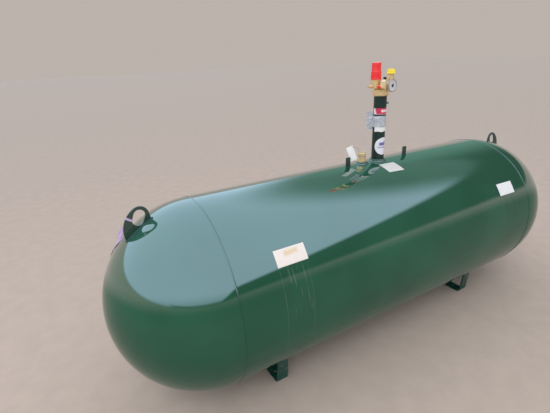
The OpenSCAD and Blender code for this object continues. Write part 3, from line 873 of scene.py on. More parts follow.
@dataclass(frozen=True)
class DialFace:
    """Gauge dial: light grey, a ring of fine marks, longer marks at every fourth, dark middle."""

    base: Colour = (0.64, 0.65, 0.72)
    ink: Colour = (0.04, 0.045, 0.06)
    radius: float = 0.029
    marks: int = 40

    def make(self, g: Graph) -> Material:
        """Builds the material: a mark shows where the cosine of the angle times the count nears 1.

        Args:
            g: Its empty tree.

        Returns:
            The material.
        """
        u, v, _ = g.axes(g.surface_point())
        out, angle = (u * u + v * v).root() / self.radius, v.turn_to(u)
        fine = (angle * float(self.marks) + pi / 2).wave().ease(0.72, 0.86)
        long = (angle * (self.marks / 4) + pi / 2).wave().ease(0.93, 0.97)
        marks = (fine * out.between(0.83, 0.93, 0.02)).most(long * out.between(0.7, 0.93, 0.02))
        marks = marks.most(out.between(0.6, 0.635, 0.01) * 0.7) * (1 - (0 - v).ease(0.014, 0.016))
        hub = 1 - out.ease(0.3, 0.34)
        return g.finish(Base_Color=g.blend(marks.most(hub), self.base, self.ink), Roughness=0.3,
                        Normal=g.bump(marks, 0.00004), Coat_Weight=0.6)


@dataclass(frozen=True)
class RibbonFilm:
    """Lilac flagging film: thin and glossy, with fine lines where it was stretched."""

    base: Colour = (0.52, 0.38, 0.7)
    pale: Colour = (0.68, 0.6, 0.82)

    def make(self, g: Graph) -> Material:
        """Builds the material from the film's own UV map, across and along in metres.

        Args:
            g: Its empty tree.

        Returns:
            The material.
        """
        uv = g.surface_point()
        lines = g.noise(g.stretch(uv, (420.0, 16.0, 1.0)), 1.0, 3.0, 0.6)
        broad = g.noise(g.stretch(uv, (60.0, 14.0, 1.0)), 1.0, 2.0)
        return g.finish(Base_Color=g.blend(broad.ease(0.35, 0.7), self.base, self.pale),
                        Roughness=lines * 0.2 + 0.22, Normal=g.bump(lines, 0.0005))


class Finish(Enum):
    """The finishes: the record's material slot of each, and what it is made of."""

    TANK = "green_coat", GreenCoat(
        wave=0.0006, runs=(Runs(-0.765, 0.15, 0.782, 0.3), Runs(0.832, 0.15, 0.765, 0.12)))
    FITTING = "green_coat", GreenCoat(
        pale=(0.01, 0.088, 0.055), wave=0.00005, peel=0.00002, gloss=0.1)
    # painted shade: the tank's green coat made darker for the lugs and dome clips
    LUG = "green_coat", GreenCoat(
        (0.003, 0.03, 0.022), (0.005, 0.04, 0.03), wave=0.00005, peel=0.00002, gloss=0.14,
        clear=0.3)
    # painted shade: the tank's green coat made darker for the shade low under the tank
    CRADLE = "green_coat", GreenCoat(
        (0.006, 0.05, 0.038), (0.009, 0.064, 0.05), wave=0.00005, peel=0.00002, gloss=0.14,
        clear=0.3)
    # painted shade: the tank's green coat made much darker for the riser pipe
    PIPE = "green_coat", GreenCoat(
        (0.006, 0.024, 0.02), (0.009, 0.032, 0.027), wave=0.00003, peel=0.00003, gloss=0.2,
        clear=0.1)
    BEAD = "green_coat", GreenCoat(
        (0.007, 0.066, 0.042), (0.01, 0.085, 0.055), wave=0.00003, peel=0.00002, gloss=0.12)
    CAST_BRASS = "valve_brass", Brass(cast=True)
    TURNED_BRASS = "valve_brass", Brass()
    # painted highlight: a paler copy of the brass for the service bonnet's bright dome
    PALE_BRASS = "valve_brass", Brass(base=(1.0, 0.8, 0.54), dull=(0.86, 0.64, 0.4))
    # the red cap's top rim gets a painted highlight above the given height
    RED = "red_plastic", MouldedPlastic(
        (0.9, 0.026, 0.024), (0.93, 0.075, 0.09), chalk_z=1.5735)
    YELLOW = "yellow_plastic", MouldedPlastic((0.96, 0.8, 0.035), (0.97, 0.84, 0.1))
    BLACK = "black_plastic", MouldedPlastic((0.018, 0.018, 0.018), (0.03, 0.03, 0.03), 0.45)
    CASE = "gauge_metal", BareSteel((0.62, 0.63, 0.66))
    STEEL = "bare_steel", BareSteel()
    DIAL = "dial_face", DialFace()
    TAPE = "silver_tape", ClothTape()
    PAPER = "paper", Paper()
    CARD = "paper", Paper((0.96, 0.98, 0.99), (0.88, 0.92, 0.94))
    STAINED = "label_film", PrintedFilm((0.84, 0.78, 0.75), (
        Block((0.004, 0.017), (0.034, 0.01), (0.74, 0.54, 0.32), 0.75, 0.01),
        Block((-0.014, 0.01), (0.016, 0.006), (0.72, 0.56, 0.38), 0.5, 0.008),
        Block((0.0, -0.0365), (0.078, 0.0016), (0.66, 0.62, 0.6), 0.6, 0.0006)))
    # the dark strip along the left edge is a painted shadow under the curled-up edge
    WHITE = "label_film", PrintedFilm((0.87, 0.91, 0.94), (
        Block((-0.0762, 0.0), (0.0022, 0.038), (0.1, 0.12, 0.12), 0.8, 0.0008),))
    OFF_WHITE = "label_film", PrintedFilm((0.7, 0.7, 0.71), (
        Block((0.0, 0.03), (0.05, 0.004), (0.6, 0.56, 0.58), 0.35, 0.003),
        Block((0.012, -0.01), (0.04, 0.014), (0.62, 0.58, 0.6), 0.3, 0.006)))
    ROUND = "label_film", PrintedFilm((0.79, 0.81, 0.91), (
        Block((-0.004, 0.013), (0.021, 0.009), (0.1, 0.07, 0.34), 0.9, 0.004),
        Block((0.01, 0.023), (0.01, 0.0025), (0.14, 0.1, 0.38), 0.7, 0.003),
        Block((-0.008, -0.007), (0.026, 0.0035), (0.24, 0.24, 0.46), 0.8, 0.0015),
        Block((0.026, -0.02), (0.018, 0.02), (0.72, 0.58, 0.7), 0.5, 0.01)))
    RED_BAND = "red_film", PrintedFilm((0.62, 0.04, 0.105), (
        Block((0.0, -0.0165), (0.07, 0.0012), (0.8, 0.72, 0.76), 1.0, 0.0005),
        Block((-0.054, 0.0), (0.009, 0.02), (0.8, 0.74, 0.78), 1.0, 0.0008, -0.35),
        Block((0.01, 0.002), (0.024, 0.007), (0.82, 0.72, 0.76), 0.95, 0.0012)))
    RIBBON = "lilac_film", RibbonFilm()

    @property
    def slot(self) -> str:
        """The record's material slot."""
        return self.value[0]

    def make(self) -> Material:
        """A new material of this finish."""
        return self.value[1].make(Graph(self.name.lower()))


class PaintBox:
    """Makes each finish once and hands it out."""

    def __init__(self) -> None:
        """Starts empty."""
        self.made: dict[Finish, Material] = {}

    def take(self, finish: Finish) -> Material:
        """Hands out a finish.

        Args:
            finish: The finish.

        Returns:
            Its material.
        """
        if finish not in self.made:
            self.made[finish] = finish.make()
        return self.made[finish]


# ---- pieces ----

def new_mesh(name: str, surface: Surface) -> Mesh:
    """Makes a mesh from arrays, with its faces turned outwards and its UV map named surface.

    Args:
        name: The mesh's name.
        surface: Its arrays.

    Returns:
        The mesh.
    """
    mesh = bpy.data.meshes.new(name)
    mesh.from_pydata(surface.points.tolist(), [], surface.quads.tolist() + surface.tris.tolist())
    work = bmesh.new()
    work.from_mesh(mesh)
    bmesh.ops.recalc_face_normals(work, faces=work.faces)
    work.to_mesh(mesh)
    work.free()
    if surface.uv is not None:
        vertex = np.empty(len(mesh.loops), int)
        mesh.loops.foreach_get("vertex_index", vertex)
        layer = mesh.uv_layers.new(name="surface")
        layer.data.foreach_set("uv", surface.uv[vertex].ravel())
    return mesh


def linked(name: str, data: bpy.types.ID) -> Thing:
    """Puts new data into the scene.

    Args:
        name: The object's name.
        data: Its mesh, lamp or camera.

    Returns:
        The new object.
    """
    thing = bpy.data.objects.new(name, data)
    bpy.context.scene.collection.objects.link(thing)
    return thing


def merged_copy(node: str) -> Mesh:
    """Copies a CAD node's mesh and joins its loose triangles into closed solids.

    Args:
        node: The node's name.

    Returns:
        The new mesh.
    """
    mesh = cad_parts[node].data.copy()
    work = bmesh.new()
    work.from_mesh(mesh)
    bmesh.ops.remove_doubles(work, verts=work.verts, dist=2e-6)
    bmesh.ops.dissolve_limit(work, angle_limit=radians(0.6), verts=work.verts,
                             edges=work.edges)
    work.to_mesh(mesh)
    work.free()
    mesh.materials.clear()
    return mesh


def baked(mesh: Mesh, *modifiers: tuple[str, dict[str, object]]) -> Mesh:
    """Runs modifiers on a mesh.

    Args:
        mesh: The mesh to start from.
        modifiers: The type of each modifier, and its settings.

    Returns:
        The result, as a mesh of its own.
    """
    carrier = linked("carrier", mesh)
    for kind, settings in modifiers:
        modifier = carrier.modifiers.new(kind.lower(), kind)
        for key, value in settings.items():
            setattr(modifier, key, value)
    graph = bpy.context.evaluated_depsgraph_get()
    result = bpy.data.meshes.new_from_object(carrier.evaluated_get(graph))
    bpy.data.objects.remove(carrier)
    return result


def lathe(stand: Stand, profile: Pairs, soft: float, gap: float = 0.0, turns: int = 192,
          shapes: Sequence[Shape] = (), closed: bool = False) -> Surface:
    """Turns a part from the corners of its profile.

    Args:
        stand: The frame that it is turned in.
        profile: Radius and height of each corner.
        soft: How far the corners are rounded.
        gap: Rows come at least this close together, where it isn't 0.
        turns: Points round the axis.
        shapes: Flats, ribs and threads.
        closed: Whether the profile is a loop and the part a ring.

    Returns:
        The surface.
    """
    line = softened(profile, soft, closed=closed)
    return turned(rows_between(line, gap) if gap else line, turns, shapes).at(stand)


def bead(path: Array, up: Array, radius: float, swell: Array,
         closed: bool = False, points: int = 14) -> Surface:
    """Lays a weld bead: a round section that swells and thins with every step of the torch.

    Args:
        path: Its middle line.
        up: A direction off the plate, or one for each point.
        radius: Radius of the section.
        swell: What is added to the radius at each point, as a share of it.
        closed: Whether the path is a ring.
        points: Points round the section.

    Returns:
        The surface.
    """
    size = radius * (1 + swell)
    return carried(path, wire_section(1.0, points) * size[:, None, None], up, closed)


def bead_round(path: Array, up: Array, radius: float, step: float) -> Surface:
    """Lays a looped fillet bead, a little uneven along its length.

    Args:
        path: Its middle line, a ring.
        up: A direction off the plate, or one for each point.
        radius: Radius of the section.
        step: Length of a step of the torch.

    Returns:
        The surface.
    """
    length = run_length(path)
    swell = 0.07 * np.cos(TURN * length / step)
    return bead(path, up, radius, swell + ripple((length, 23.0, 0.02), (length, 61.0, 0.015)), True)


@dataclass
class Assembly:
    """A sub-assembly: it keeps each of its pieces with its finish."""

    pieces: list[tuple[Thing, Finish]] = field(default_factory=list, init=False)

    def add(self, name: str, shape: Surface | Mesh, finish: Finish, node: str = "",
            sharp: float = 38.0) -> Thing:
        """Makes a piece that rides on the tank.

        Args:
            name: The piece's name.
            shape: Its arrays, or a finished mesh.
            finish: Its finish.
            node: The CAD node that it stands for, if any.
            sharp: Edges that bend by more degrees than this stay sharp.

        Returns:
            The new object.
        """
        mesh = new_mesh(name, shape) if isinstance(shape, Surface) else shape
        mesh.polygons.foreach_set("use_smooth", np.ones(len(mesh.polygons), bool))
        mesh.set_sharp_from_angle(angle=radians(sharp))
        piece = linked(name, mesh)
        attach(piece, "root")
        finish.slot
        if node:
            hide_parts(node)
        self.pieces.append((piece, finish))
        LOG.info("%s: %d faces", name, len(mesh.polygons))
        return piece

    def build(self) -> None:
        """Makes the meshes."""
        raise NotImplementedError

    def dress(self, box: PaintBox) -> None:
        """Gives each piece its material.

        Args:
            box: Where the materials come from.
        """
        for piece, finish in self.pieces:
            piece.data.materials.clear()
            piece.data.materials.append(box.take(finish))


# ---- sub-assemblies ----

AXIS_Z = 0.545
TANK_R = 0.4752
TOP_Z = AXIS_Z + TANK_R
HALF_LEN = 1.04
GROOVE = 0.00366
RISER_FOOT = (0.121, 0.0, TOP_Z)
SIDES = ((-1, "left"), (1, "right"))


def on_tank(x: float, angle: float, tilt: float, gap: float) -> Place:
    """Places a film on the shell: u and v in the plane that touches it, dropped on to the cylinder.

    Point = (u', v', sqrt((R + lift)^2 - v'^2)) turned about the tank's axis, with (u', v') tilted
    in that plane.

    Args:
        x: Where the film's middle is along the tank.
        angle: Degrees from the top down to its middle, on the viewer's side.
        tilt: Degrees that it is turned in its plane.
        gap: Distance of its underside from the shell.

    Returns:
        The function that places its points.
    """
    lean, down = radians(tilt), radians(angle)

    def place(u: Array, v: Array, lift: Array) -> Array:
        """Points on the shell."""
        across = u * cos(lean) - v * sin(lean)
        upward = u * sin(lean) + v * cos(lean)
        out = np.sqrt((TANK_R + gap + lift) ** 2 - upward ** 2)
        return np.stack([x + across, upward * cos(down) - out * sin(down),
                         AXIS_Z + upward * sin(down) + out * cos(down)], -1)
    return place


@dataclass
class Tank(Assembly):
    """Rolled shell, hemispherical heads and the butt welds between them."""

    shell_wall: float = 0.0055
    head_wall: float = 0.0046
    land: float = 0.001
    crown: float = 0.0016
    ripple_high: float = 0.00016
    ripple_bow: float = 0.45
    seam_half: float = 0.0045
    seam_angle: float = 240.0
    bores: tuple[Span, ...] = ((0.121, 0.045), (-0.004, 0.031))
    drill_z: Span = (0.8, 1.1)
    turns: int = 256

    def shell_mesh(self) -> Mesh:
        """Tube with bevelled ends and two bores.

        Returns:
            The mesh.
        """
        outer = np.linspace(-(HALF_LEN - GROOVE), HALF_LEN - GROOVE, 53)
        inner = np.linspace(HALF_LEN - self.land, -(HALF_LEN - self.land), 9)
        profile = np.concatenate([
            np.stack([np.full(len(outer), TANK_R), outer], -1),
            np.stack([np.full(len(inner), TANK_R - self.shell_wall), inner], -1)])
        lying = Stand.facing((0.0, 0.0, AXIS_Z), (1.0, 0.0, 0.0))
        mesh = new_mesh("shell_tube", turned(profile, self.turns).at(lying))
        low, high = self.drill_z
        drills = [turned([[0, low], [r, low], [r, high], [0, high]]).at(Stand((x, 0.0, 0.0)))
                  for x, r in self.bores]
        drill = linked("drills", new_mesh("drills", drills[0].with_(*drills[1:])))
        cut = {"operation": "DIFFERENCE", "solver": "EXACT", "object": drill}
        result = baked(mesh, ("BOOLEAN", cut))
        bpy.data.objects.remove(drill)
        return result

    @staticmethod
    def round_normals(mesh: Mesh) -> None:
        """Gives each corner on the cylinder its exact normal, out or in; cut edges stay flat.

        Args:
            mesh: The shell's mesh.
        """
        corner, spots = np.empty(len(mesh.loops), int), np.empty(len(mesh.vertices) * 3)
        mesh.loops.foreach_get("vertex_index", corner)
        mesh.vertices.foreach_get("co", spots)
        spots = spots.reshape(-1, 3)[corner]
        faces, sizes = np.empty(len(mesh.polygons) * 3), np.empty(len(mesh.polygons), int)
        mesh.polygons.foreach_get("normal", faces)
        mesh.polygons.foreach_get("loop_total", sizes)
        face = np.repeat(faces.reshape(-1, 3), sizes, axis=0)
        out = unit(np.stack([0 * spots[:, 0], spots[:, 1], spots[:, 2] - AXIS_Z], -1))
        along = (face * out).sum(1, keepdims=True)
        normals = np.where(np.abs(along) > 0.95, np.sign(along) * out, face)
        mesh.normals_split_custom_set(normals.tolist())

    def head(self, side: int) -> Surface:
        """Hemisphere with its inner face and a bevelled rim: (R sin t, R cos t) for both faces.

        Args:
            side: -1 for the left head, 1 for the right one.

        Returns:
            The surface.
        """
        inner_r = TANK_R - self.head_wall
        t = np.linspace(0.0, acos(GROOVE / TANK_R), 72)
        back = np.linspace(acos(self.land / inner_r), 0.0, 28)
        profile = np.concatenate([TANK_R * np.stack([np.sin(t), np.cos(t)], -1),
                                  inner_r * np.stack([np.sin(back), np.cos(back)], -1)])
        stand = Stand.facing((side * HALF_LEN, 0.0, AXIS_Z), (side, 0.0, 0.0))
        return turned(profile, self.turns).at(stand)

    def bead_wave(self, radius: Array, angle: Array, height: Array) -> Array:
        """Weld ripples: a small wave of the way round, bowed across the bead.

        Args:
            radius: Radius of each point.
            angle: Its bearing.
            height: Its height along the axis.

        Returns:
            The new radius.
        """
        way = angle * TANK_R / 0.0052 + self.ripple_bow * (height / GROOVE) ** 2
        uneven = ripple((angle, 3.0 / TURN * 2, 0.00004), (angle, 11.0 / TURN, 0.00003))
        size = self.ripple_high + uneven
        return np.where(radius > TANK_R + 1e-6, radius + size * np.cos(TURN * way), radius)

    def girth(self, side: int) -> Surface:
        """Butt weld: a root land, bevelled faces and a crown of half a sine.

        Args:
            side: -1 for the left weld, 1 for the right one.

        Returns:
            The surface.
        """
        t = np.arange(1, 8) / 8
        root = TANK_R - self.shell_wall
        crown = np.stack([TANK_R + self.crown * np.sin(pi * t),
                          -GROOVE * np.cos(pi * t)], -1)
        low = [[root, self.land], [root, -self.land], [TANK_R, -GROOVE]]
        surface = turned(np.concatenate([low, crown, [[TANK_R, GROOVE]]]), 1152, [self.bead_wave])
        return surface.at(Stand.facing((side * HALF_LEN, 0.0, AXIS_Z), (1.0, 0.0, 0.0)))

    def seam(self) -> Surface:
        """Long seam: such a section carried along the shell, its ripples as steps of the crown.

        Returns:
            The surface.
        """
        t = np.arange(1, 8) / 8
        x = np.linspace(-(HALF_LEN - GROOVE), HALF_LEN - GROOVE, 1400)
        half, wall = self.seam_half, self.shell_wall
        crown = np.stack([-half * np.cos(pi * t), self.crown * np.sin(pi * t)], -1)
        section = np.concatenate([
            [[self.land, -wall], [-self.land, -wall], [-self.land, 0.0], [-half, 0.0]], crown,
            [[half, 0.0], [self.land, 0.0]]])
        sections = np.broadcast_to(section, (len(x), *section.shape)).copy()
        way = x[:, None] / 0.006 + self.ripple_bow * (section[None, :, 0] / half) ** 2
        waves = self.ripple_high * np.cos(TURN * way)
        sections[..., 1] += np.where(section[None, :, 1] > 1e-6, waves, 0.0)
        turn = radians(self.seam_angle)
        out = np.array([0.0, -sin(turn), cos(turn)])
        path = np.stack([x, 0 * x, 0 * x], -1) + TANK_R * out + np.array([0.0, 0.0, AXIS_Z])
        return carried(path, sections, out)

    def build(self) -> None:
        """Makes shell, heads and welds."""
        shell = self.add("shell_plate", self.shell_mesh(), Finish.TANK, "shell")
        self.round_normals(shell.data)
        for side, word in SIDES:
            self.add(f"head_{word}_dome", self.head(side), Finish.TANK, f"head_{word}")
            weld = self.girth(side)
            self.add(f"girth_bead_{word}", weld, Finish.BEAD, f"girth_weld_{word}", 60.0)
        self.add("long_seam_bead", self.seam(), Finish.BEAD, "long_seam_weld", 60.0)


def arc(centre: Array, radius: float, start: float, end: float) -> Array:
    """Points of an arc between two bearings."""
    return centre + radius * circle(np.linspace(start, end, 160))


def bearing(centre: Array, point: Array) -> float:
    """Bearing of a point from a centre."""
    return atan2(point[1] - centre[1], point[0] - centre[0])


@dataclass
class LiftingLug(Assembly):
    """Lug of one head: a plate with an oval eye, and the bead round its foot.

    Its plane holds the tank's axis. The first axis runs along the head towards the top, the second
    outwards.
    """

    side: int = -1
    thick: float = 0.0095
    edge: float = 0.0011
    angle: float = 56.0
    eye: Span = (0.052, 0.043)
    eye_r: float = 0.04
    back_r: float = 0.122
    back_lean: float = 2.7
    base_high: float = 0.075
    base_low: float = -0.0635
    hole: Span = (0.041, 0.038)
    hole_r: float = 0.025
    hole_gap: float = 0.024
    hole_tilt: float = 34.0
    bead_r: float = 0.0044
    rays: int = 288

    def stand(self) -> Stand:
        """The lug's own frame on its head.

        Returns:
            The frame.
        """
        turn = radians(self.angle)
        out = (self.side * cos(turn), 0.0, sin(turn))
        foot = (self.side * HALF_LEN + TANK_R * out[0], 0.0, AXIS_Z + TANK_R * out[2])
        return Stand(foot, (-self.side * sin(turn), 0.0, cos(turn)), out)

    def back_centre(self) -> Array:
        """Centre of the long back edge's arc."""
        lean = radians(self.back_lean)
        return np.asarray(self.eye) - (self.back_r - self.eye_r) * np.array(
            [sin(lean), cos(lean)])

    def seen(self, line: Array) -> Array:
        """A closed line as even rays from the hole's middle meet it.

        Args:
            line: The line's points.

        Returns:
            One point for each ray.
        """
        gap = line - np.asarray(self.hole)
        way = np.arctan2(gap[:, 1], gap[:, 0]) % TURN
        order = np.argsort(way)
        ray = np.arange(self.rays) * TURN / self.rays
        reach = np.interp(ray, way[order], np.linalg.norm(gap, axis=1)[order], period=TURN)
        return np.asarray(self.hole) + reach[:, None] * circle(ray)

    def outline(self) -> Array:
        """Outline: along the head, up the front edge to the eye, round it and down the back edge.

        Returns:
            The outline's points.
        """
        eye, head, back = np.asarray(self.eye), np.array([0.0, -TANK_R]), self.back_centre()
        gap, way = np.linalg.norm(back - head), unit(back - head)
        near = (gap ** 2 + TANK_R ** 2 - self.back_r ** 2) / (2 * gap)
        low = head + near * way + sqrt(TANK_R ** 2 - near ** 2) * np.array([-way[1], way[0]])
        turn = self.base_high / TANK_R
        foot = head + TANK_R * np.array([sin(turn), cos(turn)])
        reach = foot - eye
        touch = atan2(reach[1], reach[0]) + acos(self.eye_r / np.linalg.norm(reach))
        crest = pi / 2 - radians(self.back_lean)
        front = foot + (eye + self.eye_r * circle(touch) - foot) \
            * np.linspace(0.02, 0.98, 60)[:, None]
        return np.concatenate([
            arc(head, TANK_R - 0.001, bearing(head, low), bearing(head, foot)), front,
            arc(eye, self.eye_r, touch, crest), arc(back, self.back_r, crest, bearing(back, low))])

    def eye_hole(self) -> Array:
        """Outline of the oval hole: two half circles and the straights between them.

        Returns:
            The outline's points.
        """
        tilt = radians(self.hole_tilt)
        half, middle = circle(tilt) * self.hole_gap / 2, np.asarray(self.hole)
        first, second = (
            arc(middle + way * half, self.hole_r, tilt + start * pi,
                tilt + (start + 1.0) * pi) for way, start in ((1, -0.5), (-1, 0.5)))
        share = np.linspace(0.05, 0.95, 20)[:, None]
        return np.concatenate([first, first[-1] + (second[0] - first[-1]) * share,
                               second, second[-1] + (first[0] - second[-1]) * share])

    def foot_bead(self) -> Surface:
        """Bead round the foot: a long loop one offset from the plate, on the head's sphere.

        Returns:
            The surface.
        """
        off = self.thick / 2 + 0.0014
        turn = np.linspace(-pi / 2, pi / 2, 14)[1:-1]
        low, high = self.base_low, self.base_high - 0.002
        run = np.linspace(low, high, 150)
        s = np.concatenate([run, high + off * np.cos(turn), run[::-1], low - off * np.cos(turn)])
        w = np.concatenate([0 * run - off, off * np.sin(turn), 0 * run + off, -off * np.sin(turn)])
        flat_r = np.sqrt((TANK_R + 0.0006) ** 2 - w ** 2)
        turn = s / TANK_R
        points = np.stack([flat_r * np.sin(turn), flat_r * np.cos(turn) - TANK_R, w], -1)
        return bead_round(points, unit(points + np.array([0.0, TANK_R, 0.0])), self.bead_r, 0.0052)

    def build(self) -> None:
        """Makes the plate and its bead."""
        word = "left" if self.side < 0 else "right"
        plate = slab(self.seen(self.outline()), self.thick, self.edge,
                     hole=self.seen(self.eye_hole()), centre=self.hole).at(self.stand())
        self.add(f"lug_plate_{word}", plate, Finish.LUG, f"lifting_lug_{word}")
        foot = self.foot_bead().at(self.stand())
        self.add(f"lug_bead_{word}", foot, Finish.LUG, f"lug_weld_{word}", 60.0)


@dataclass
class Cradle(Assembly):
    """Cradle: a flat bar bent up to the shell, edges rounded, with a bead where each arm ends."""

    word: str = "left"
    middle: float = -0.762
    width: float = 0.0635
    edge: float = 0.0012
    bend: Span = (0.239, 0.03)
    bend_r: float = 0.03
    arm_lean: float = 6.0
    bead_r: float = 0.0042

    def bead_turn(self) -> float:
        """Angle from straight down to where an arm's outer face meets the shell, plus half a bead.

        Returns:
            The angle in degrees.
        """
        lean = radians(self.arm_lean)
        arm = np.array([sin(lean), cos(lean)])
        across = np.array([cos(lean), -sin(lean)])
        start = np.asarray(self.bend) + self.bend_r * across - np.array([0.0, AXIS_Z])
        mid = arm @ start
        meet = start + arm * (-mid - sqrt(mid ** 2 - start @ start + TANK_R ** 2))
        return degrees(atan2(meet[0], -meet[1])) + 0.45

    def build(self) -> None:
        """Rounds a copy of the bar and lays the beads."""
        rounding = {"width": self.edge, "segments": 3, "limit_method": "ANGLE",
                    "angle_limit": radians(40), "use_clamp_overlap": True,
                    "harden_normals": False}
        node = f"cradle_{self.word}"
        bar = baked(merged_copy(node), ("BEVEL", rounding))
        self.add(f"cradle_bar_{self.word}", bar, Finish.CRADLE, node, 35.0)
        x = np.linspace(-self.width / 2 + 0.003, self.width / 2 - 0.003, 60)
        turn, beads = radians(self.bead_turn()), []
        for row in (-1, 1):
            out = np.array([0.0, row * sin(turn), -cos(turn)])
            path = np.stack([self.middle + x, 0 * x, 0 * x], -1) + (TANK_R + 0.0022) * out \
                + np.array([0, 0, AXIS_Z])
            beads.append(bead(path, out, self.bead_r, 0.08 * np.cos(TURN * x / 0.0055)))
        self.add(f"cradle_bead_{self.word}", beads[0].with_(beads[1]), Finish.CRADLE, sharp=60.0)


def collar_bead(x: float, radius: float) -> Surface:
    """Bead round a collar: a ring that rises and falls with the shell below it.

    Args:
        x: Where the collar is along the tank.
        radius: The collar's radius.

    Returns:
        The surface.
    """
    turn = np.arange(240) * TURN / 240
    ring = radius + 0.0016
    height = AXIS_Z + np.sqrt(TANK_R ** 2 - (ring * np.sin(turn)) ** 2) + 0.001
    path = np.stack([x + ring * np.cos(turn), ring * np.sin(turn), height], -1)
    return bead_round(path, np.array(UP), 0.0052, 0.0058)


@dataclass
class Riser(Assembly):
    """Riser: weld collar, pipe, stud, tape, a folded tape end, paper and labels."""

    along: ClassVar[float] = 0.121
    pipe_r: float = 0.0365
    wall: float = 0.007
    height: float = 0.376
    tape_z: float = 0.203
    tape_w: float = 0.064
    film_gap: float = 0.0001
    label_z: float = 0.276
    label_h: float = 0.034
    label_arc: float = 198.0
    label_turn: float = 260.0
    disc_z: float = 0.092
    disc_d: float = 0.102
    disc_turn: float = 4.0
    stud_z: float = 0.337
    flag_size: Span = (0.035, 0.104)
    flag_turn: float = -45.0

    def round_pipe(self, middle: float, height: float) -> Place:
        """Places a film on the pipe.

        Args:
            middle: Bearing of the film's middle.
            height: Height of its middle above the pipe's foot.

        Returns:
            The function that places its points; u is the arc from the middle and v the height.
        """
        def place(u: Array, v: Array, lift: Array) -> Array:
            """Points on the pipe."""
            turn = middle + u / self.pipe_r
            out = self.pipe_r + self.film_gap + lift
            return np.stack([self.along + out * np.cos(turn), out * np.sin(turn),
                             TOP_Z + height + v], -1)
        return place

    def pipe(self) -> Surface:
        """Thick tube with its end inside the brass collar."""
        inner, low, high = self.pipe_r - self.wall, -0.02, self.height + 0.025
        return lathe(Stand(RISER_FOOT), [[inner, low], [self.pipe_r, low], [self.pipe_r, high],
                                         [inner, high]], 0.001, turns=128, closed=True)

    def collar(self) -> Surface:
        """Weld collar with rounded edges.

        Returns:
            The surface.
        """
        return lathe(Stand(RISER_FOOT), [[0.0367, -0.02], [0.0448, -0.02], [0.0448, 0.014],
                                         [0.0367, 0.014]], 0.0016, turns=128, closed=True)

    def stud(self) -> Surface:
        """Small hexagon plug in the pipe's side.

        Returns:
            The surface.
        """
        out = (cos(pi / 4), -sin(pi / 4), 0.0)
        spot = (self.along + self.pipe_r * out[0], self.pipe_r * out[1], TOP_Z + self.stud_z)
        return lathe(Stand.facing(spot, out), [
            [0, 0], [0.0045, 0], [0.0045, 0.003], [0.0084, 0.003], [0.0084, 0.009],
            [0.0045, 0.009], [0.0045, 0.012], [0, 0.012]], 0.0006, 0.0008, 48,
            [flats(6, 0.0065, 0.0031, 0.0089, pi / 6)])

    def tape(self) -> Surface:
        """Wound tape: the outer face steps at each slanting lap and is crumpled by small waves.

        Returns:
            The surface.
        """
        out, low, high = self.pipe_r + 0.0013, self.tape_z, self.tape_z + self.tape_w
        rows = np.concatenate([[[self.pipe_r + 0.0005, low]],
                               np.stack([np.full(49, out), np.linspace(low, high, 49)], -1),
                               [[self.pipe_r + 0.0005, high]]])

        def laps(radius: Array, angle: Array, height: Array) -> Array:
            """New radius."""
            v = (height - low) / self.tape_w
            wound = 2.1 * v + 0.8 * np.sin(angle + 0.6) + angle / TURN
            step = np.clip((wound % 1.0) * 14.0, 0.0, 1.0) \
                * np.clip((1 - wound % 1.0) * 3.0, 0.0, 1.0)
            crumple = ripple((angle + 3 * v, 1.1, 0.00022), (angle - 5 * v, 0.8, 0.0002),
                             (v + angle, 2.6, 0.0001)) * np.sin(pi * v) ** 0.5
            return np.where(radius > out - 1e-6, radius + 0.0006 * step + crumple, radius)
        return turned(rows, 192, [laps]).at(Stand(RISER_FOOT))

    def pouch(self) -> Surface:
        """Folded tape end that stands off the pipe: a flat cushion, crumpled, with a ragged corner.

        Returns:
            The surface.
        """
        width, high = self.flag_size
        u, v = patch(width, high, 41, 85)
        s, t = u / (width / 2), v / (high / 2)
        rough_u = ripple((v, 31.0, 0.0007), (v, 83.0, 0.0004)) * (np.abs(s) > 0.9)
        rough_v = ripple((u, 47.0, 0.001), (u, 120.0, 0.0005)) * (np.abs(t) > 0.9)
        edge_u = u + rough_u - 0.0012 * t
        edge_v = v + rough_v + 0.006 * s * np.minimum(t, 0) ** 2
        body = 0.0009 + 0.0022 * (1 - s ** 4) * (1 - t ** 4)
        bend = ripple((v + u, 26.0, 0.0007), (v - 2 * u, 17.0, 0.0006), (u * 3 + v, 38.0, 0.0003))
        turn = radians(self.flag_turn)
        out = np.array([-cos(turn), -sin(turn), 0.0])
        face = np.array([sin(turn), -cos(turn), 0.0])
        middle = np.array([self.along, 0.0, TOP_Z + self.tape_z + self.tape_w + 0.022 - high / 2]) \
            + out * (self.pipe_r + 0.0183)

        def place(_u: Array, _v: Array, lift: Array) -> Array:
            """Points of the near face or the far one, by the lift."""
            side = np.where(lift > 0, 1.0, -1.0) * body / 2 + bend * (1 - 0.7 * (s < -0.9))
            return middle - out * edge_u[..., None] + face * side[..., None] \
                + np.array(UP) * edge_v[..., None]
        return film(u, v, place, 0.001)

    def slip(self) -> Surface:
        """Paper round the front of the pipe, with a wavy torn lower edge.

        Returns:
            The surface.
        """
        u, v = patch(self.pipe_r * pi * 0.97, self.tape_w, 90, 24)
        torn = ripple((u, 21.0, 0.0016), (u, 66.0, 0.0006), (u, 140.0, 0.0003)) * (v < -0.029)
        place = self.round_pipe(-pi / 2, self.tape_z - 0.026 + self.tape_w / 2)
        return film(u, v + torn, place, 0.0003)

